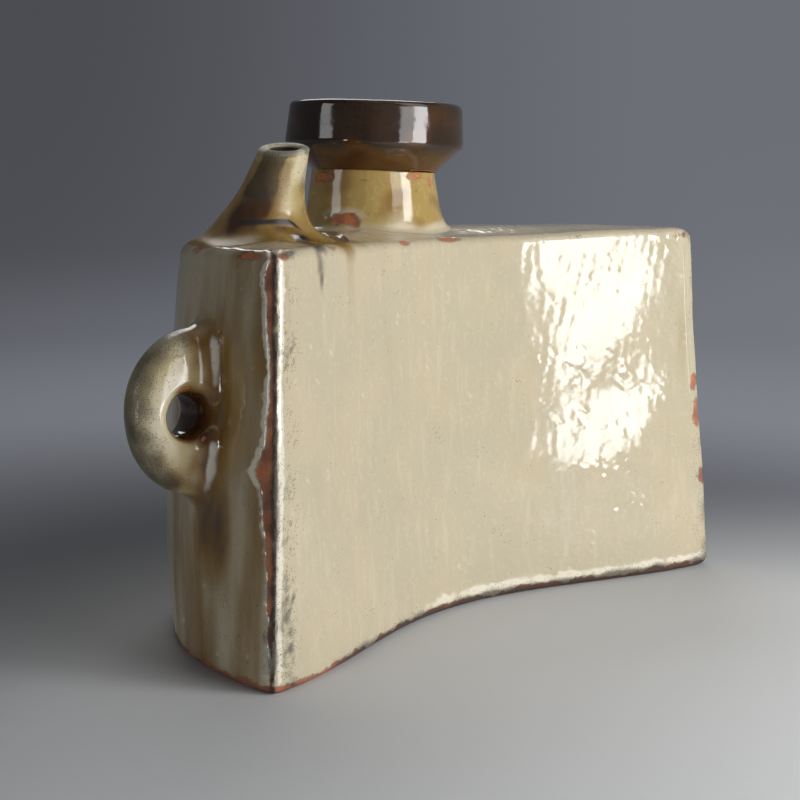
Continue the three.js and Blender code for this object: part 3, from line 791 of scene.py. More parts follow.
neck_fields["cream_and_highlight"] = np.maximum(neck_pale, 0.85 * spots(true_neck, NECK_ROLL)) * neck_outside
neck_fields["amber"] = np.clip(0.16 + 0.26 * waves(true_neck, 42, 16, 8, 30), 0, 1)
amber_neck = ring_piece("amber_neck", true_neck, neck_fields)

# %% Iron cup
CUP_HEIGHT = 21.4
CUP_LINE = 8.0
CUP_LINE_RADIUS = 28.4
CUP_RIM_RADIUS = 26.8
CUP_WALL = 5.0
CUP_FLOOR = 1.8
CUP_CUTS = [0.3, 1.8, 2.2, 2.2, 4.0, 1.2]
CUP_SPACING = 0.4
CUP_SEAM = 0.3
CUP_DRAWN_IN = 0.05
THROWING_STEP = 2.7
THROWING_RINGS = 0.02
cup_pivot = shoulder_flat + NECK_HEIGHT + CUP_SEAM

cup_corners = [
    (NECK_BORE, 0), (NECK_TOP_RADIUS, 0), (CUP_LINE_RADIUS, CUP_LINE), (CUP_RIM_RADIUS, CUP_HEIGHT),
    (CUP_RIM_RADIUS - CUP_WALL, CUP_HEIGHT), (CUP_LINE_RADIUS - CUP_WALL, CUP_LINE + CUP_FLOOR),
    (NECK_BORE, CUP_FLOOR), (NECK_BORE, 0),
]
cup_profile = rounded(cup_corners, CUP_CUTS, CUP_SPACING)


def cup_points():
    """The cup's profile turned about the mouth's axis, with faint throwing rings, then leaned over."""
    r, h = cup_profile[:, :1], cup_profile[:, 1:]
    ringed = smooth(h, CUP_LINE + 1, CUP_LINE + 4) * smooth(CUP_HEIGHT - h, 2, 5) * (r > CUP_RIM_RADIUS - 1.5)
    rings = THROWING_RINGS * np.sin(2 * np.pi * h / THROWING_STEP + 0.4 * np.sin(around_angle)) * ringed
    radius = r + rings - CUP_DRAWN_IN
    x, y = radius * np.cos(around_angle), radius * np.sin(around_angle)
    upright = np.stack(np.broadcast_arrays(x, y, h), -1)
    cos_f, sin_f = math.cos(MOUTH_TILT_FACING), math.sin(MOUTH_TILT_FACING)
    turn = np.array([[cos_f, -sin_f, 0], [sin_f, cos_f, 0], [0, 0, 1]])
    cos_t, sin_t = math.cos(MOUTH_TILT), math.sin(MOUTH_TILT)
    lean = np.array([[cos_t, 0, sin_t], [0, 1, 0], [-sin_t, 0, cos_t]])
    return upright @ (turn @ lean @ turn.T).T + np.array([mouth_x, mouth_y, cup_pivot])


CUP_WEAR = [(-17.0, -10.0, 141.0, 3.2, 2.4, 0.8), (15.0, -18.6, 143.0, 0.9, 0.9, 2.6)]
BROWNER_SIDE = math.radians(-50)
true_cup = cup_points()
cup_fields = plain_fields(true_cup)
cup_rise = np.broadcast_to(cup_profile[:, 1:], true_cup.shape[:2])
cup_out = np.broadcast_to(cup_profile[:, :1], true_cup.shape[:2])
slope_stain = (1 - smooth(cup_rise, CUP_LINE - 5, CUP_LINE + 1.5)) * (cup_out > NECK_TOP_RADIUS - 0.5)
cup_turned = smooth(np.cos(around_angle - BROWNER_SIDE), 0.1, 1.0)
cup_brown = np.maximum(0.8 * slope_stain, 0.26 * cup_turned) + 0.16 * waves(true_cup, 51, 20, 8, 30)
cup_fields["amber"] = np.clip(cup_brown, 0, 1)
foot_break = (1 - smooth(cup_rise, 0.2, 1.0)) * smooth(waves(true_cup, 53, 12, 8, 26), 0.2, 0.9) * slope_stain
cup_fields["bare"] = np.clip(0.44 * spots(true_cup, CUP_WEAR) + 0.9 * foot_break, 0, 1)
iron_cup = ring_piece("iron_cup", true_cup, cup_fields)

# %% [markdown]
# ## The spout
# A hand-pulled cone that leans towards the hollow side, with a wide skirt smoothed over the sloping shoulder
# and a tip cut at a slant. Its rows are circles whose centre moves along the leaning axis.

# %% Leaning spout
SPOUT_HEIGHT = 23.6
SPOUT_TIP = SPOUT_FOOT + np.array([3.0, -8.0])
SPOUT_FOOT_RADIUS = 13.0
SPOUT_TIP_RADIUS = 7.0
SPOUT_BORE = 3.7
SPOUT_SKIRT = 6.2
SPOUT_SKIRT_HEIGHT = 3.0
SPOUT_FLARE = 5.0
SPOUT_FLARE_HEIGHT = 0.9
SPOUT_WAIST = 0.6
WAIST_RISE, WAIST_SPREAD = 14, 6
SPOUT_COVE = 1.2
SPOUT_LIP = 1.2
SPOUT_UNDER = (4.0, 3.0)
SKIRT_MARGIN = 1.6
SPOUT_TIP_TILT = math.radians(12)
SPOUT_TIP_FACING = math.radians(225)
SPOUT_ROWS = 72
LIP_ROWS = 13
SPOUT_BORE_ROWS = 16

spout_share = np.linspace(0, 1, SPOUT_ROWS) ** FOOT_CROWDING
spout_rise = spout_share * (SPOUT_HEIGHT - SPOUT_LIP)
spout_radius = SPOUT_FOOT_RADIUS + (SPOUT_TIP_RADIUS - SPOUT_FOOT_RADIUS) * spout_rise / SPOUT_HEIGHT
spout_radius += SPOUT_SKIRT * np.exp(-spout_rise / SPOUT_SKIRT_HEIGHT)
spout_radius += cove(spout_rise, SPOUT_COVE)
spout_radius += SPOUT_FLARE * np.exp(-spout_rise / SPOUT_FLARE_HEIGHT)
spout_radius -= SPOUT_WAIST * np.exp(-(((spout_rise - WAIST_RISE) / WAIST_SPREAD) ** 2))
lip_angle = np.linspace(0, np.pi, LIP_ROWS)[1:]
lip_half = (spout_radius[-1] - SPOUT_BORE) / 2
lip_radius = SPOUT_BORE + lip_half + lip_half * np.cos(lip_angle)
lip_rise = spout_rise[-1] + SPOUT_LIP * np.sin(lip_angle)
bore_share = np.linspace(1, 0, SPOUT_BORE_ROWS)[1:]
spout_bore = SPOUT_BORE + (SPOUT_FOOT_BORE - SPOUT_BORE) * (1 - bore_share)
spout_down = bore_share * (spout_rise[-1] - shoulder_seam + shoulder_flat) + shoulder_seam - shoulder_flat
spout_r = np.concatenate([spout_radius[:1] - SPOUT_UNDER[0], spout_radius, lip_radius, spout_bore])
spout_h = np.concatenate([[-SPOUT_UNDER[1]], spout_rise, lip_rise, spout_down])


def spout_points():
    """Circles up the leaning axis, tipped more and more towards the slanted tip, seated on the shoulder."""
    r, h = spout_r[:, None], spout_h[:, None]
    share = np.clip(h, 0, None) / SPOUT_HEIGHT
    centre = SPOUT_FOOT + (SPOUT_TIP - SPOUT_FOOT) * share[..., None]
    drop = r * np.cos(around_angle - SPOUT_TIP_FACING) * math.tan(SPOUT_TIP_TILT) * share**2
    x = centre[..., 0] + r * np.cos(around_angle)
    y = centre[..., 1] + r * np.sin(around_angle)
    x = x + np.clip(SKIRT_MARGIN - edge_distances(x, y)[1], 0, None)
    return np.stack([x, y, seated(x, y, h) - drop], -1)


# %% Finish of the spout
LIP_OUTSIDE = 10
true_spout = spout_points()
spout_fields = plain_fields(true_spout)
spout_rows = np.broadcast_to(spout_h[:, None], true_spout.shape[:2])
spout_cloud = waves(true_spout, 61, 20, 6, 24)
# Painted shade in the bore: the rows inside the spout are made fully sooty and amber, so the bore reads dark.
painted_bore_shade = (np.arange(len(spout_h)) > SPOUT_ROWS + LIP_OUTSIDE)[:, None] * 1.0


def towards(degrees, low, high):
    """Soft share of the spout's surface that faces a direction: 1 where the cosine is above high."""
    return smooth(np.cos(around_angle - np.radians(degrees)) + 0.05 * spout_cloud, low, high)


soot_patch = towards(208, 0.72, 0.9) * smooth(spout_rows + 1.2 * spout_cloud, 8, 13)
soot_specks = 0.34 * towards(225, 0.72, 0.9) * smooth(spout_rows, 7, 12)
soot_edge = 0.5 * towards(318, 0.8, 1.0) * smooth(spout_rows, 6, 14)
lip_ring = 0.5 * smooth(spout_rows, 21.4, 22.4)
soot = np.maximum(soot_patch, soot_specks) + soot_edge + lip_ring + 0.12 * smooth(spout_rows, 6, 12)
spout_fields["soot_and_shade"] = np.clip(soot + painted_bore_shade, 0, 1)
# Painted lit side: the spout carries less amber on the side that faces the key lamp, so that side reads
# paler.
lit_side_facing = 262 + 18 * smooth(spout_rows, 6, 14)
spout_lit_side = towards(lit_side_facing, 0.8, 0.97) * smooth(spout_rows, 3.5, 7)
spout_crease = 0.5 * bell(spout_rows, 6.5, 3.8) * towards(210, 0.6, 0.95)
spout_own = 0.6 - 0.38 * spout_lit_side + spout_crease + 0.08 * spout_cloud - 0.4 * smooth(spout_rows, 20, 22)
spout_seat = 1 - smooth(spout_rows, 0, 2.5)
spout_brown = spout_own + (amber_field(true_spout) - spout_own) * spout_seat
spout_fields["amber"] = np.clip(spout_brown + painted_bore_shade, 0, 1)
# Painted highlight: an upright band of pale cream on the side that faces the key lamp.
spout_painted_highlight = 0.62 * towards(284, 0.72, 0.96) * smooth(spout_rows, 9, 17)
pale_lip = 0.8 * smooth(spout_rows, 21.6, 22.6)
spout_fields["cream_and_highlight"] = np.maximum(spout_painted_highlight, pale_lip) * (1 - painted_bore_shade)
pool_height = 0.4 + 3.5 * towards(195, -0.2, 0.55)
pool_line = bell(spout_rows, pool_height, 0.6) * towards(236, 0.74, 0.9)
spout_fields["pool"] = np.clip(np.maximum(1.1 * pool_line, pool_field(true_spout)), 0, 1) * (spout_rows > -1)
spout_fields["dry"] = np.maximum(smooth(spout_rows, 5, 8), 0.9 * towards(185, 0.2, 0.75))
leaning_spout = ring_piece("leaning_spout", true_spout, spout_fields)

# %% [markdown]
# ## The ears
# Each ear is a thick rounded disc, pierced for a carrying cord and smoothed onto the end wall. One parameter
# runs round the hole and the other round the section, and close to the wall the section spreads in a cove.

# %% Ears
EAR_RADIUS = 22.8
EAR_THICKNESS = 16.0
EAR_ROUNDING = 2.6
EAR_HOLE = 4.9
EAR_HOLE_OUT = 8.2
EAR_ROOT = 3.0
EAR_COVE = 5.6
EAR_SEAT = 3
ROOT_EDGE = 1.5
HOLE_EDGE = 4.2
EAR_TURNS = 220
EAR_SECTION = 84
EAR_CENTRE_Y = -19.12
EAR_CENTRE_Z = 69.2
LEAST_INWARDS = 1e-3
NOT_ZERO = 1e-9


def end_reach(y, z):
    """How far the end wall stands from the middle: the front's ellipse with its swell."""
    rise = z / BODY_HEIGHT
    half, reach, centre = front_ellipse(rise)
    angle = np.arcsin(np.clip((y - chord_y - centre) / reach, -1, 1))
    share = np.clip(angle / np.pi, 0, 1)
    swell = FRONT_BELLY * np.sin(np.pi * rise) * (1 - np.abs(2 * share - 1) ** BELLY_POWER)
    return (half + swell) * np.cos(angle)


def ear_points(side):
    """The ear's surface and each point's distance from the end wall, the disc's middle and the hole's axis.

    From the hole's edge to the outline the half thickness is that of a rounded disc, times a quarter round at
    the hole and at the root. The outline is the disc's circle, cut off inside the wall.
    """
    turn = np.linspace(0, 2 * np.pi, EAR_TURNS, endpoint=False)[None, :]
    section = np.linspace(0, 2 * np.pi, EAR_SECTION, endpoint=False)[:, None]
    outwards, upwards = np.cos(turn), np.sin(turn)
    circle = -EAR_HOLE_OUT * outwards + np.sqrt(EAR_RADIUS**2 - (EAR_HOLE_OUT * upwards) ** 2)
    inwards = np.maximum(-outwards, LEAST_INWARDS)
    root = np.where(inwards > LEAST_INWARDS, (EAR_HOLE_OUT + EAR_ROOT) / inwards, FAR_AWAY)
    outer = np.minimum(circle, root)
    middle, half = (EAR_HOLE + outer) / 2, (outer - EAR_HOLE) / 2
    from_hole = middle + half * np.cos(section)
    out, up = EAR_HOLE_OUT + from_hole * outwards, from_hole * upwards
    from_middle = np.hypot(out, up)
    disc = np.clip(1 - (from_middle / EAR_RADIUS) ** EAR_ROUNDING, 0, None) ** (1 / EAR_ROUNDING)
    edge = np.clip((from_hole - EAR_HOLE) / HOLE_EDGE, 0, 1)
    back_edge = np.clip((out + EAR_ROOT) / ROOT_EDGE, 0, 1)
    across = np.sign(np.sin(section)) * EAR_THICKNESS / 2 * disc
    across = across * np.sqrt(1 - (1 - edge) ** 2) * np.sqrt(1 - (1 - back_edge) ** 2)
    y, z = EAR_CENTRE_Y + across, EAR_CENTRE_Z + up
    reach = end_reach(EAR_CENTRE_Y, EAR_CENTRE_Z)
    clear = reach + out - end_reach(y, z)
    spread = cove(clear, EAR_COVE)
    away_y, away_z = across / (EAR_THICKNESS / 2) ** 2, up / EAR_RADIUS**2
    size = np.hypot(away_y, away_z) + NOT_ZERO
    y, z = y + spread * away_y / size, z + spread * away_z / size
    seat = UNDER_GLAZE * (1 - smooth(clear, 0, EAR_SEAT))
    points = np.stack([side * (end_reach(y, z) + clear - seat), y, z], -1)
    return points, clear, from_middle, from_hole


def ear_piece(name, side, seed):
    """One ear: brown at the root with a pale line painted into its crease as a highlight, sooty at the rim,
    worn at the hole's edge.
    """
    true_ear, clear, from_middle, from_hole = ear_points(side)
    fields = plain_fields(true_ear)
    cloud = waves(true_ear, seed, 24, 4, 20)
    rim = smooth(from_middle, 15, 22) * smooth(clear, 4, 9)
    in_hole = 0.7 * (1 - smooth(from_hole, 5.2, 7.6))
    own = 0.02 + 0.8 * np.exp(-np.clip(clear, 0, None) / 9) + in_hole + 0.12 * cloud
    at_wall = 1 - smooth(clear, 0.5, 5)
    fields["amber"] = np.clip(own + (amber_field(true_ear) - own) * at_wall, 0, 1)
    fields["soot_and_shade"] = np.clip(0.85 * rim + 0.1 * cloud, 0, 1)
    fields["bare"] = np.clip(0.62 * bell(from_hole, 7.2, 0.9) * smooth(cloud, 0.5, 1.6), 0, 1)
    up = np.abs(true_ear[..., 2] - EAR_CENTRE_Z)
    # Painted highlight: a pale line of cream in the root's crease, above and below the hole on the hollow
    # side.
    painted_root_highlight = bell(clear, 1.3, 0.65) * smooth(EAR_CENTRE_Y - true_ear[..., 1], 2, 5)
    painted_root_highlight = painted_root_highlight * smooth(up, 5, 9) * (1 - smooth(up, 16, 24)) * (0.9 + 0.2 * cloud)
    ring = 0.45 * bell(from_hole, 10, 4) * smooth(clear, 6, 12)
    fields["cream_and_highlight"] = np.clip(np.maximum(ring, painted_root_highlight), 0, 1)
    return ring_piece(name, true_ear, fields, facing=-side)


spout_end_ear = ear_piece("spout_end_ear", -1, 71)
far_end_ear = ear_piece("far_end_ear", 1, 72)

# %% [markdown]
# ## Nodes by code
# Materials are node trees. A few small functions keep the trees readable: each adds one node and returns the
# socket that the next node reads.


# %% Node helpers
def put(tree, kind, inputs, **settings):
    """Adds a node; an input is a value or another node's output."""
    made = tree.nodes.new(kind)
    for key, value in settings.items():
        setattr(made, key, value)
    for key, value in inputs.items():
        if isinstance(value, bpy.types.NodeSocket):
            tree.links.new(value, made.inputs[key])
        else:
            made.inputs[key].default_value = value
    return made


def maths(tree, operation, first, second=0.0, clamp=False):
    """One sum, product or comparison of two values."""
    return put(tree, "ShaderNodeMath", {0: first, 1: second}, operation=operation, use_clamp=clamp).outputs[0]


def measure(tree, operation, first, second=(0.0, 0.0, 0.0)):
    """One length, distance or dot product of two places."""
    return put(tree, "ShaderNodeVectorMath", {0: first, 1: second}, operation=operation).outputs["Value"]


def step(tree, value, low, high, to_low=0.0, to_high=1.0):
    """Goes softly from one value to another while the input goes from low to high."""
    inputs = {"Value": value, "From Min": low, "From Max": high, "To Min": to_low, "To Max": to_high}
    return put(tree, "ShaderNodeMapRange", inputs, interpolation_type="SMOOTHSTEP").outputs[0]


def mixed(tree, share, first, second):
    """One colour laid over another by a share."""
    return put(tree, "ShaderNodeMix", {0: share, 6: first, 7: second}, data_type="RGBA").outputs[2]


def noise(tree, place, scale, detail=2.0):
    """Soft noise, from about 0.2 to 0.8, with scale in patches per metre."""
    return put(tree, "ShaderNodeTexNoise", {"Vector": place, "Scale": scale, "Detail": detail}).outputs["Fac"]


def stretched(tree, place, scale):
    """The same place with each axis scaled by itself."""
    return put(tree, "ShaderNodeMapping", {"Vector": place, "Scale": scale}).outputs[0]


def colour(red, green, blue):
    """A colour given as on a screen, 0 to 255, made linear."""
    screen = np.array([red, green, blue]) / 255
    linear = np.where(screen < 0.04045, screen / 12.92, ((screen + 0.055) / 1.055) ** 2.4)
    return (*map(float, linear), 1.0)


def group(name, inputs, outputs):
    """An empty node group with named sockets; returns the tree, its inputs and its output node."""
    tree = bpy.data.node_groups.new(name, "ShaderNodeTree")
    for label, kind in inputs.items():
        tree.interface.new_socket(label, in_out="INPUT", socket_type=kind)
    for label, kind in outputs.items():
        tree.interface.new_socket(label, in_out="OUTPUT", socket_type=kind)
    given = tree.nodes.new("NodeGroupInput").outputs
    return tree, given, tree.nodes.new("NodeGroupOutput")


def finish(name):
    """A new material, with its tree, its shader and the place on the piece that its patterns read."""
    material = bpy.data.materials.new(name)
    material.use_nodes = True
    tree = material.node_tree
    place = put(tree, "ShaderNodeTexCoord", {}).outputs["Object"]
    return material, tree, tree.nodes["Principled BSDF"], place


NUMBER, COLOUR, PLACE = "NodeSocketFloat", "NodeSocketColor", "NodeSocketVector"

# %% [markdown]
# ## Fired clay
# Where no glaze covers it the body is an iron-rich red clay with dark and pale grog. All finishes use it
# under the glaze, so it is a group.

# %% Fired clay group
clay_group, clay_in, clay_out = group("fired_clay", {"Place": PLACE}, {"Color": COLOUR, "Height": NUMBER})
clay_cloud = step(clay_group, noise(clay_group, clay_in["Place"], 260, 3), 0.38, 0.62)
clay_colour = mixed(clay_group, clay_cloud, colour(178, 116, 86), colour(202, 122, 76))
grog = noise(clay_group, clay_in["Place"], 1900, 2)
clay_colour = mixed(clay_group, step(clay_group, grog, 0.58, 0.7, 0, 0.5), clay_colour, colour(86, 48, 36))
clay_colour = mixed(clay_group, step(clay_group, grog, 0.4, 0.3, 0, 0.35), clay_colour, colour(210, 140, 100))
clay_group.links.new(clay_colour, clay_out.inputs["Color"])
clay_group.links.new(grog, clay_out.inputs["Height"])

# %% [markdown]
# ## The glaze
# All five glazes are the same sort of melted film and differ in their colours. Slow clouds and upright runs
# vary the ground; thin places turn amber and brown, thick ones cream or blue-grey; specks of iron burn
# through; and where the film drew back the clay shows, with a darker line at its edge. The soot tint also
# paints shade, and the cream also paints highlights.

# %% Ground of the glaze
COATS = ("Body", "Cloud", "Run", "Thin", "Root", "Pooled", "Thick", "Speck")
tree, film, glaze_out = group(
    "glaze_film",
    {"Place": PLACE, **dict.fromkeys(COATS, COLOUR), **dict.fromkeys(FIELDS, NUMBER)},
    {"Color": COLOUR, "Roughness": NUMBER, "Height": NUMBER},
)
glaze_group = tree
place = film["Place"]
clouds = noise(tree, place, 42, 3)
runs = noise(tree, stretched(tree, place, (360, 360, 60)), 1, 3)
broad_runs = noise(tree, stretched(tree, place, (130, 130, 13)), 1, 2)
mottle = noise(tree, place, 620, 3)
coat = mixed(tree, step(tree, clouds, 0.36, 0.64), film["Body"], film["Cloud"])
coat = mixed(tree, step(tree, broad_runs, 0.42, 0.66, 0, 0.5), coat, film["Cloud"])
coat = mixed(tree, step(tree, runs, 0.5, 0.76, 0, 0.4), coat, film["Run"])
coat = mixed(tree, step(tree, mottle, 0.52, 0.72, 0, 0.35), coat, film["Run"])

# %% Thin, thick and pooled glaze
thin_edge = maths(tree, "SUBTRACT", maths(tree, "MULTIPLY", runs, 0.3), 0.15)
thin = maths(tree, "ADD", film["amber"], thin_edge, clamp=True)
coat = mixed(tree, step(tree, thin, 0.12, 0.7), coat, film["Thin"])
coat = mixed(tree, step(tree, thin, 0.6, 1.0), coat, film["Root"])
coat = mixed(tree, step(tree, film["cream_and_highlight"], 0.25, 0.8), coat, film["Thick"])
coat = mixed(tree, step(tree, film["pool"], 0.2, 1.0), coat, film["Pooled"])

# %% Soot and specks
STRAY_SPECKS = 0.0012
cells = put(tree, "ShaderNodeTexVoronoi", {"Vector": place, "Scale": 2600.0})
lot = put(tree, "ShaderNodeSeparateColor", {0: cells.outputs["Color"]}).outputs[0]
chance = maths(tree, "MULTIPLY_ADD", film["soot_and_shade"], 0.6)
chance.node.inputs[2].default_value = STRAY_SPECKS
drawn = maths(tree, "LESS_THAN", lot, chance)
core = step(tree, cells.outputs["Distance"], 0.52, 0.22)
specks = maths(tree, "MULTIPLY", drawn, core)
# Strong soot tints the glaze towards the speck colour; at the foot and in the spout's bore this is painted
# shade.
coat = mixed(tree, maths(tree, "MULTIPLY", step(tree, film["soot_and_shade"], 0.3, 1.0), 0.68), coat, film["Speck"])
coat = mixed(tree, maths(tree, "MULTIPLY", specks, 0.8), coat, film["Speck"])

# %% Bare clay, gloss and relief
fray = maths(tree, "SUBTRACT", noise(tree, place, 1300, 2), 0.5)
drawn_back = maths(tree, "ADD", film["bare"], maths(tree, "MULTIPLY", fray, 0.22))
uncovered = step(tree, drawn_back, 0.47, 0.53)
edge_line = maths(tree, "MULTIPLY", step(tree, drawn_back, 0.3, 0.46), 0.4)
coat = mixed(tree, edge_line, coat, film["Speck"])
clay = put(tree, "ShaderNodeGroup", {"Place": place}, node_tree=clay_group)
# Bare clay darkens with the soot field: burnt clay, and at the foot painted shade.
burnt_and_shaded_clay = mixed(tree, maths(tree, "MULTIPLY", film["soot_and_shade"], 0.88), clay.outputs["Color"], film["Speck"])
coat = mixed(tree, uncovered, coat, burnt_and_shaded_clay)

gloss = step(tree, noise(tree, place, 90, 2), 0.3, 0.7, 0.07, 0.14)
sooty = step(tree, film["soot_and_shade"], 0.3, 1.0, 0.0, 0.3)
satin = maths(tree, "MULTIPLY", film["dry"], 0.36)
film_roughness = maths(tree, "ADD", maths(tree, "ADD", gloss, sooty), satin)
roughness = maths(tree, "MAXIMUM", film_roughness, maths(tree, "MULTIPLY", uncovered, 0.72))
peel = maths(tree, "MULTIPLY", noise(tree, place, 420, 1), 0.16)
pits = maths(tree, "SUBTRACT", peel, maths(tree, "MULTIPLY", specks, 0.3))
grit = maths(tree, "MULTIPLY", clay.outputs["Height"], uncovered)
height = maths(tree, "ADD", pits, maths(tree, "MULTIPLY", grit, 0.5))
tree.links.new(coat, glaze_out.inputs["Color"])
tree.links.new(roughness, glaze_out.inputs["Roughness"])
tree.links.new(height, glaze_out.inputs["Height"])
print(f"glaze group of {len(tree.nodes)} nodes")


# %% Finishes
RELIEF = 0.0005
GLAZE_RELIEF, CLAY_RELIEF = 0.35, 0.4
GLAZE_IOR = 1.66
CLAY_ROUGHNESS = 0.8


def lay(tree, shader, coat, strength):
    """Puts a group's colour and relief on a shader."""
    relief = {"Strength": strength, "Distance": RELIEF, "Height": coat.outputs["Height"]}
    tree.links.new(coat.outputs["Color"], shader.inputs["Base Color"])
    tree.links.new(put(tree, "ShaderNodeBump", relief).outputs[0], shader.inputs["Normal"])


def glaze(name, **coats):
    """A material that lays the glaze film over a piece: its place, the colours and the six fields go in."""
    material, tree, shader, place = finish(name)
    inputs = {"Place": place, **{coat: colour(*screen) for coat, screen in coats.items()}}
    for field in FIELDS:
        inputs[field] = put(tree, "ShaderNodeAttribute", {}, attribute_name=field).outputs["Fac"]
    melted = put(tree, "ShaderNodeGroup", inputs, node_tree=glaze_group)
    lay(tree, shader, melted, GLAZE_RELIEF)
    tree.links.new(melted.outputs["Roughness"], shader.inputs["Roughness"])
    shader.inputs["IOR"].default_value = GLAZE_IOR
    return material


ash_film = glaze(
    "ash_film", Body=(203, 189, 160), Cloud=(196, 186, 159), Run=(216, 204, 179), Thin=(146, 114, 58),
    Root=(84, 54, 26), Pooled=(52, 47, 48), Thick=(236, 228, 208), Speck=(36, 33, 28))
amber_film = glaze(
    "amber_film", Body=(198, 168, 104), Cloud=(178, 150, 88), Run=(210, 188, 130), Thin=(148, 112, 58),
    Root=(88, 55, 27), Pooled=(54, 54, 62), Thick=(222, 208, 178), Speck=(36, 33, 28))
ear_film = glaze(
    "ear_film", Body=(212, 199, 164), Cloud=(196, 181, 140), Run=(220, 210, 182), Thin=(148, 112, 58),
    Root=(88, 55, 27), Pooled=(54, 54, 62), Thick=(240, 233, 218), Speck=(36, 33, 28))
spout_film = glaze(
    "spout_film", Body=(186, 166, 110), Cloud=(170, 148, 90), Run=(198, 182, 134), Thin=(146, 114, 58),
    Root=(76, 48, 24), Pooled=(48, 46, 50), Thick=(212, 202, 170), Speck=(36, 35, 29))
iron_film = glaze(
    "iron_film", Body=(44, 33, 24), Cloud=(60, 43, 28), Run=(30, 24, 20), Thin=(94, 60, 22),
    Root=(80, 46, 16), Pooled=(60, 60, 66), Thick=(120, 90, 50), Speck=(18, 15, 13))

# %% Bare clay for the inner coils
coil_finish, clay_tree, clay_shader, clay_place = finish("coil_clay")
coil_clay = put(clay_tree, "ShaderNodeGroup", {"Place": clay_place}, node_tree=clay_group)
lay(clay_tree, clay_shader, coil_clay, CLAY_RELIEF)
clay_shader.inputs["Roughness"].default_value = CLAY_ROUGHNESS

# %% Dress the pieces
dressed = [
    (glazed_base, "base_slab", ash_film, "ash_glaze"),
    (hollow_back, "back_wall", ash_film, "ash_glaze"),
    (bowed_front, "front_wall", ash_film, "ash_glaze"),
    (crowned_shoulder, "shoulder_slab", ash_film, "ash_glaze"),
    (amber_neck, "neck", amber_film, "amber_glaze"),
    (iron_cup, "mouth_cup", iron_film, "iron_glaze"),
    (leaning_spout, "spout", spout_film, "ash_glaze"),
    (spout_end_ear, "spout_end_lug", ear_film, "amber_glaze"),
    (far_end_ear, "far_end_lug", ear_film, "amber_glaze"),
]
for piece, node, film_coat, slot in dressed:
    piece.data.materials.append(film_coat)
    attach(piece, "root")
    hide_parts(node)
for node in ("base_seam_coil", "shoulder_seam_coil", "spout_end_corner_coil", "far_end_corner_coil"):
    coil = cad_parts[node]
    coil.data.materials.clear()
    coil.data.materials.append(coil_finish)
print(f"{len(dressed)} pieces dressed")

# %% [markdown]
# ## Floor and light
# A pale floor that turns up far behind into a grey backdrop, all the way round, so that every view has the
# same ground. Its colour paints a pool of light round a spot in front of the hollow back that falls off to
# dark further away, and the paper glows grey, lighter towards one side, as a painted backdrop light. A tall
# soft box stands to the right of the camera and shines off the hollow back, helped by a high one, a side one
# and a small low one. A fill and a narrow strip on the left shine off the cup and the spout's end, and wide
# ones above and behind fill the shadows and light the bowed front.

# %% Floor
FLOOR_MIDDLE = 0.02
FLOOR_FLAT = 2.2
FLOOR_CURVE = 1.2
CURVE_START = 0.1
BACKDROP_TOP = 3.0
FLAT_ROWS = 24
CURVE_ROWS = 16
FLOOR_COLUMNS = 96

floor_bend = np.linspace(CURVE_START, np.pi / 2, CURVE_ROWS)
flat_radius = np.linspace(FLOOR_MIDDLE, FLOOR_FLAT, FLAT_ROWS)
bend_radius = FLOOR_FLAT + FLOOR_CURVE * np.sin(floor_bend)
floor_radius = np.concatenate([flat_radius, bend_radius, bend_radius[-1:]])[:, None]
bend_height = FLOOR_CURVE * (1 - np.cos(floor_bend))
floor_height = np.concatenate([np.zeros(FLAT_ROWS), bend_height, [BACKDROP_TOP]])[:, None]
floor_turn = np.linspace(0, 2 * np.pi, FLOOR_COLUMNS, endpoint=False)[None, :]
floor_x, floor_y = floor_radius * np.cos(floor_turn), floor_radius * np.sin(floor_turn)
floor_points = np.stack(np.broadcast_arrays(floor_x, floor_y, floor_height), -1).reshape(-1, 3)
floor_faces = grid_faces(len(floor_radius), FLOOR_COLUMNS, closed_columns=True).tolist()
floor_mesh = bpy.data.meshes.new("studio_floor")
floor_mesh.from_pydata(floor_points.tolist(), [], [*floor_faces, list(range(FLOOR_COLUMNS))])
floor_mesh.polygons.foreach_set("use_smooth", np.ones(len(floor_mesh.polygons), bool))
studio_floor = bpy.data.objects.new("studio_floor", floor_mesh)
bpy.context.scene.collection.objects.link(studio_floor)

# %% Paper of the floor
PAPER_ROUGHNESS = 0.9
PAPER_SHINE = 0.1
TO_THE_RIGHT = (0.7, -0.7, 0.0)
BRIGHT_SPOT = (-0.03, -0.19, 0.0)

floor_paint, tree, paper, floor_place = finish("studio_paper")
paper.inputs["Roughness"].default_value = PAPER_ROUGHNESS
paper.inputs["Specular IOR Level"].default_value = PAPER_SHINE
paper_reach = measure(tree, "LENGTH", floor_place)
# Painted pool of light: the paper is pale round a spot in front of the hollow back, turns grey further off
# and darker still far away.
painted_light_pool = step(tree, measure(tree, "DISTANCE", floor_place, BRIGHT_SPOT), 0.12, 0.34)
far_paper = mixed(tree, step(tree, paper_reach, 0.4, 0.9), colour(104, 106, 111), colour(56, 57, 60))
paper_colour = mixed(tree, painted_light_pool, colour(202, 203, 204), far_paper)
tree.links.new(paper_colour, paper.inputs["Base Color"])

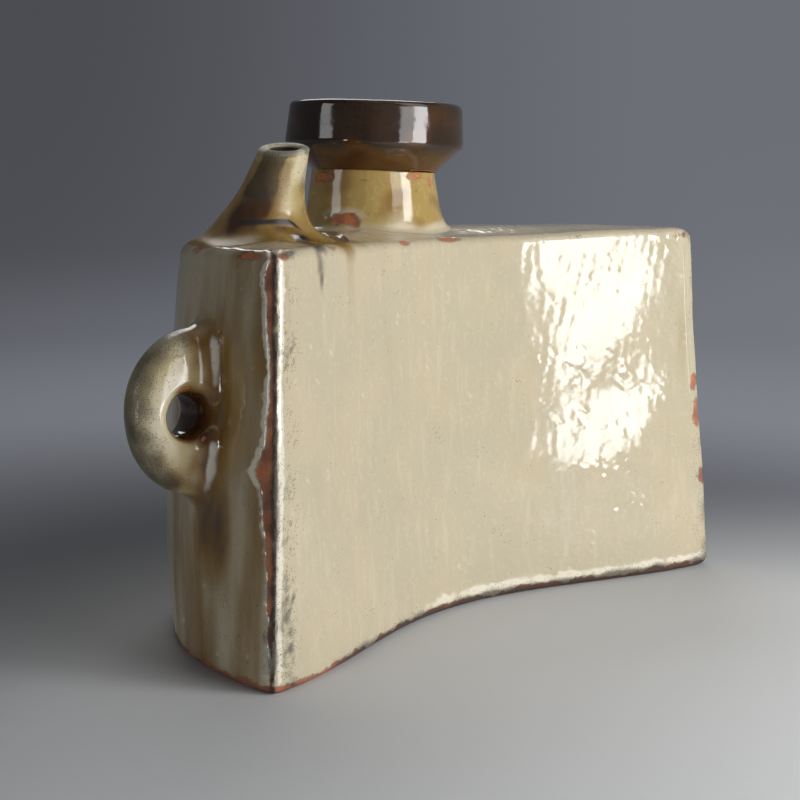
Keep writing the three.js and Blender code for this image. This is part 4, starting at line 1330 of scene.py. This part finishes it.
# Painted backdrop light: away from the flask the paper glows grey for camera and mirror rays, lighter towards
# one side and dimmer far off.
paper_side = step(tree, measure(tree, "DOT_PRODUCT", floor_place, TO_THE_RIGHT), -0.7, 0.7)
backdrop = mixed(tree, paper_side, colour(86, 88, 94), colour(124, 127, 135))
paper_fade = step(tree, paper_reach, 0.08, 0.42)
paper_dim = step(tree, paper_reach, 0.6, 3.4, 0.86, 0.74)
rays = put(tree, "ShaderNodeLightPath", {}).outputs
seen = maths(tree, "MAXIMUM", rays["Is Camera Ray"], rays["Is Glossy Ray"])
seen = maths(tree, "MAXIMUM", seen, rays["Is Transmission Ray"])
glow = maths(tree, "MULTIPLY", maths(tree, "MULTIPLY", paper_fade, paper_dim), seen)
tree.links.new(glow, paper.inputs["Emission Strength"])
tree.links.new(backdrop, paper.inputs["Emission Color"])
floor_mesh.materials.append(floor_paint)


# %% Soft boxes
LAMP_AIM = Vector((0, 0, 0.07))
AIR_COLOUR = (0.5, 0.51, 0.53, 1)
AIR_STRENGTH = 0.08


def soft_box(name, azimuth, elevation, distance, width, height, watts, roll=0.0):
    """A rectangular lamp that looks at the flask's middle; angles in degrees, lengths in metres."""
    turn, lift = math.radians(azimuth), math.radians(elevation)
    away = Vector((math.cos(lift) * math.cos(turn), math.cos(lift) * math.sin(turn), math.sin(lift)))
    lamp = bpy.data.lights.new(name, "AREA")
    lamp.shape = "RECTANGLE"
    lamp.size, lamp.size_y, lamp.energy = width, height, watts
    held = bpy.data.objects.new(name, lamp)
    held.location = LAMP_AIM + distance * away
    aim = (-away).to_track_quat("-Z", "Y") @ Quaternion((0, 0, 1), math.radians(roll))
    held.rotation_euler = aim.to_euler()
    held.visible_camera = False
    bpy.context.scene.collection.objects.link(held)


soft_box("key_box", -74.5, 14.5, 0.46, 0.144, 0.32, 1.3, roll=-8)
soft_box("high_box", -70, 50, 0.8, 0.4, 0.4, 0.75)
soft_box("side_box", -93, 14, 0.48, 0.15, 0.3, 0.45)
soft_box("low_box", -97, -5, 0.47, 0.12, 0.06, 0.15)
soft_box("fill_box", 158, 20, 0.9, 0.24, 0.3, 0.5)
soft_box("strip_box", 186, -0.4, 0.62, 0.083, 0.117, 0.22)
soft_box("top_box", -100, 80, 1.2, 0.9, 0.9, 0.4)
soft_box("back_box", 52, 42, 1.3, 0.7, 0.7, 4.8)

world = bpy.data.worlds.new("studio_air")
bpy.context.scene.world = world
world.use_nodes = True
air = world.node_tree.nodes["Background"].inputs
air["Color"].default_value = AIR_COLOUR
air["Strength"].default_value = AIR_STRENGTH

# %% [markdown]
# ## Camera
# The camera stands where the photograph was taken from: its lens and place were worked out from the foot
# lines.

# %% Camera
CAMERA_PLACE = (-0.3551, -0.3479, 0.1306)
CAMERA_PITCH = 81.99
CAMERA_TURN = -45.83
CAMERA_LENS = 72.0
CAMERA_SENSOR = 36.0
NEAREST_SEEN = 0.01
lens = bpy.data.cameras.new("camera")
lens.sensor_width = CAMERA_SENSOR
lens.lens = CAMERA_LENS
lens.clip_start = NEAREST_SEEN
camera = bpy.data.objects.new("camera", lens)
camera.location = CAMERA_PLACE
camera.rotation_euler = (math.radians(CAMERA_PITCH), 0, math.radians(CAMERA_TURN))
bpy.context.scene.collection.objects.link(camera)
bpy.context.scene.camera = camera
bpy.context.scene.view_settings.view_transform = "Standard"
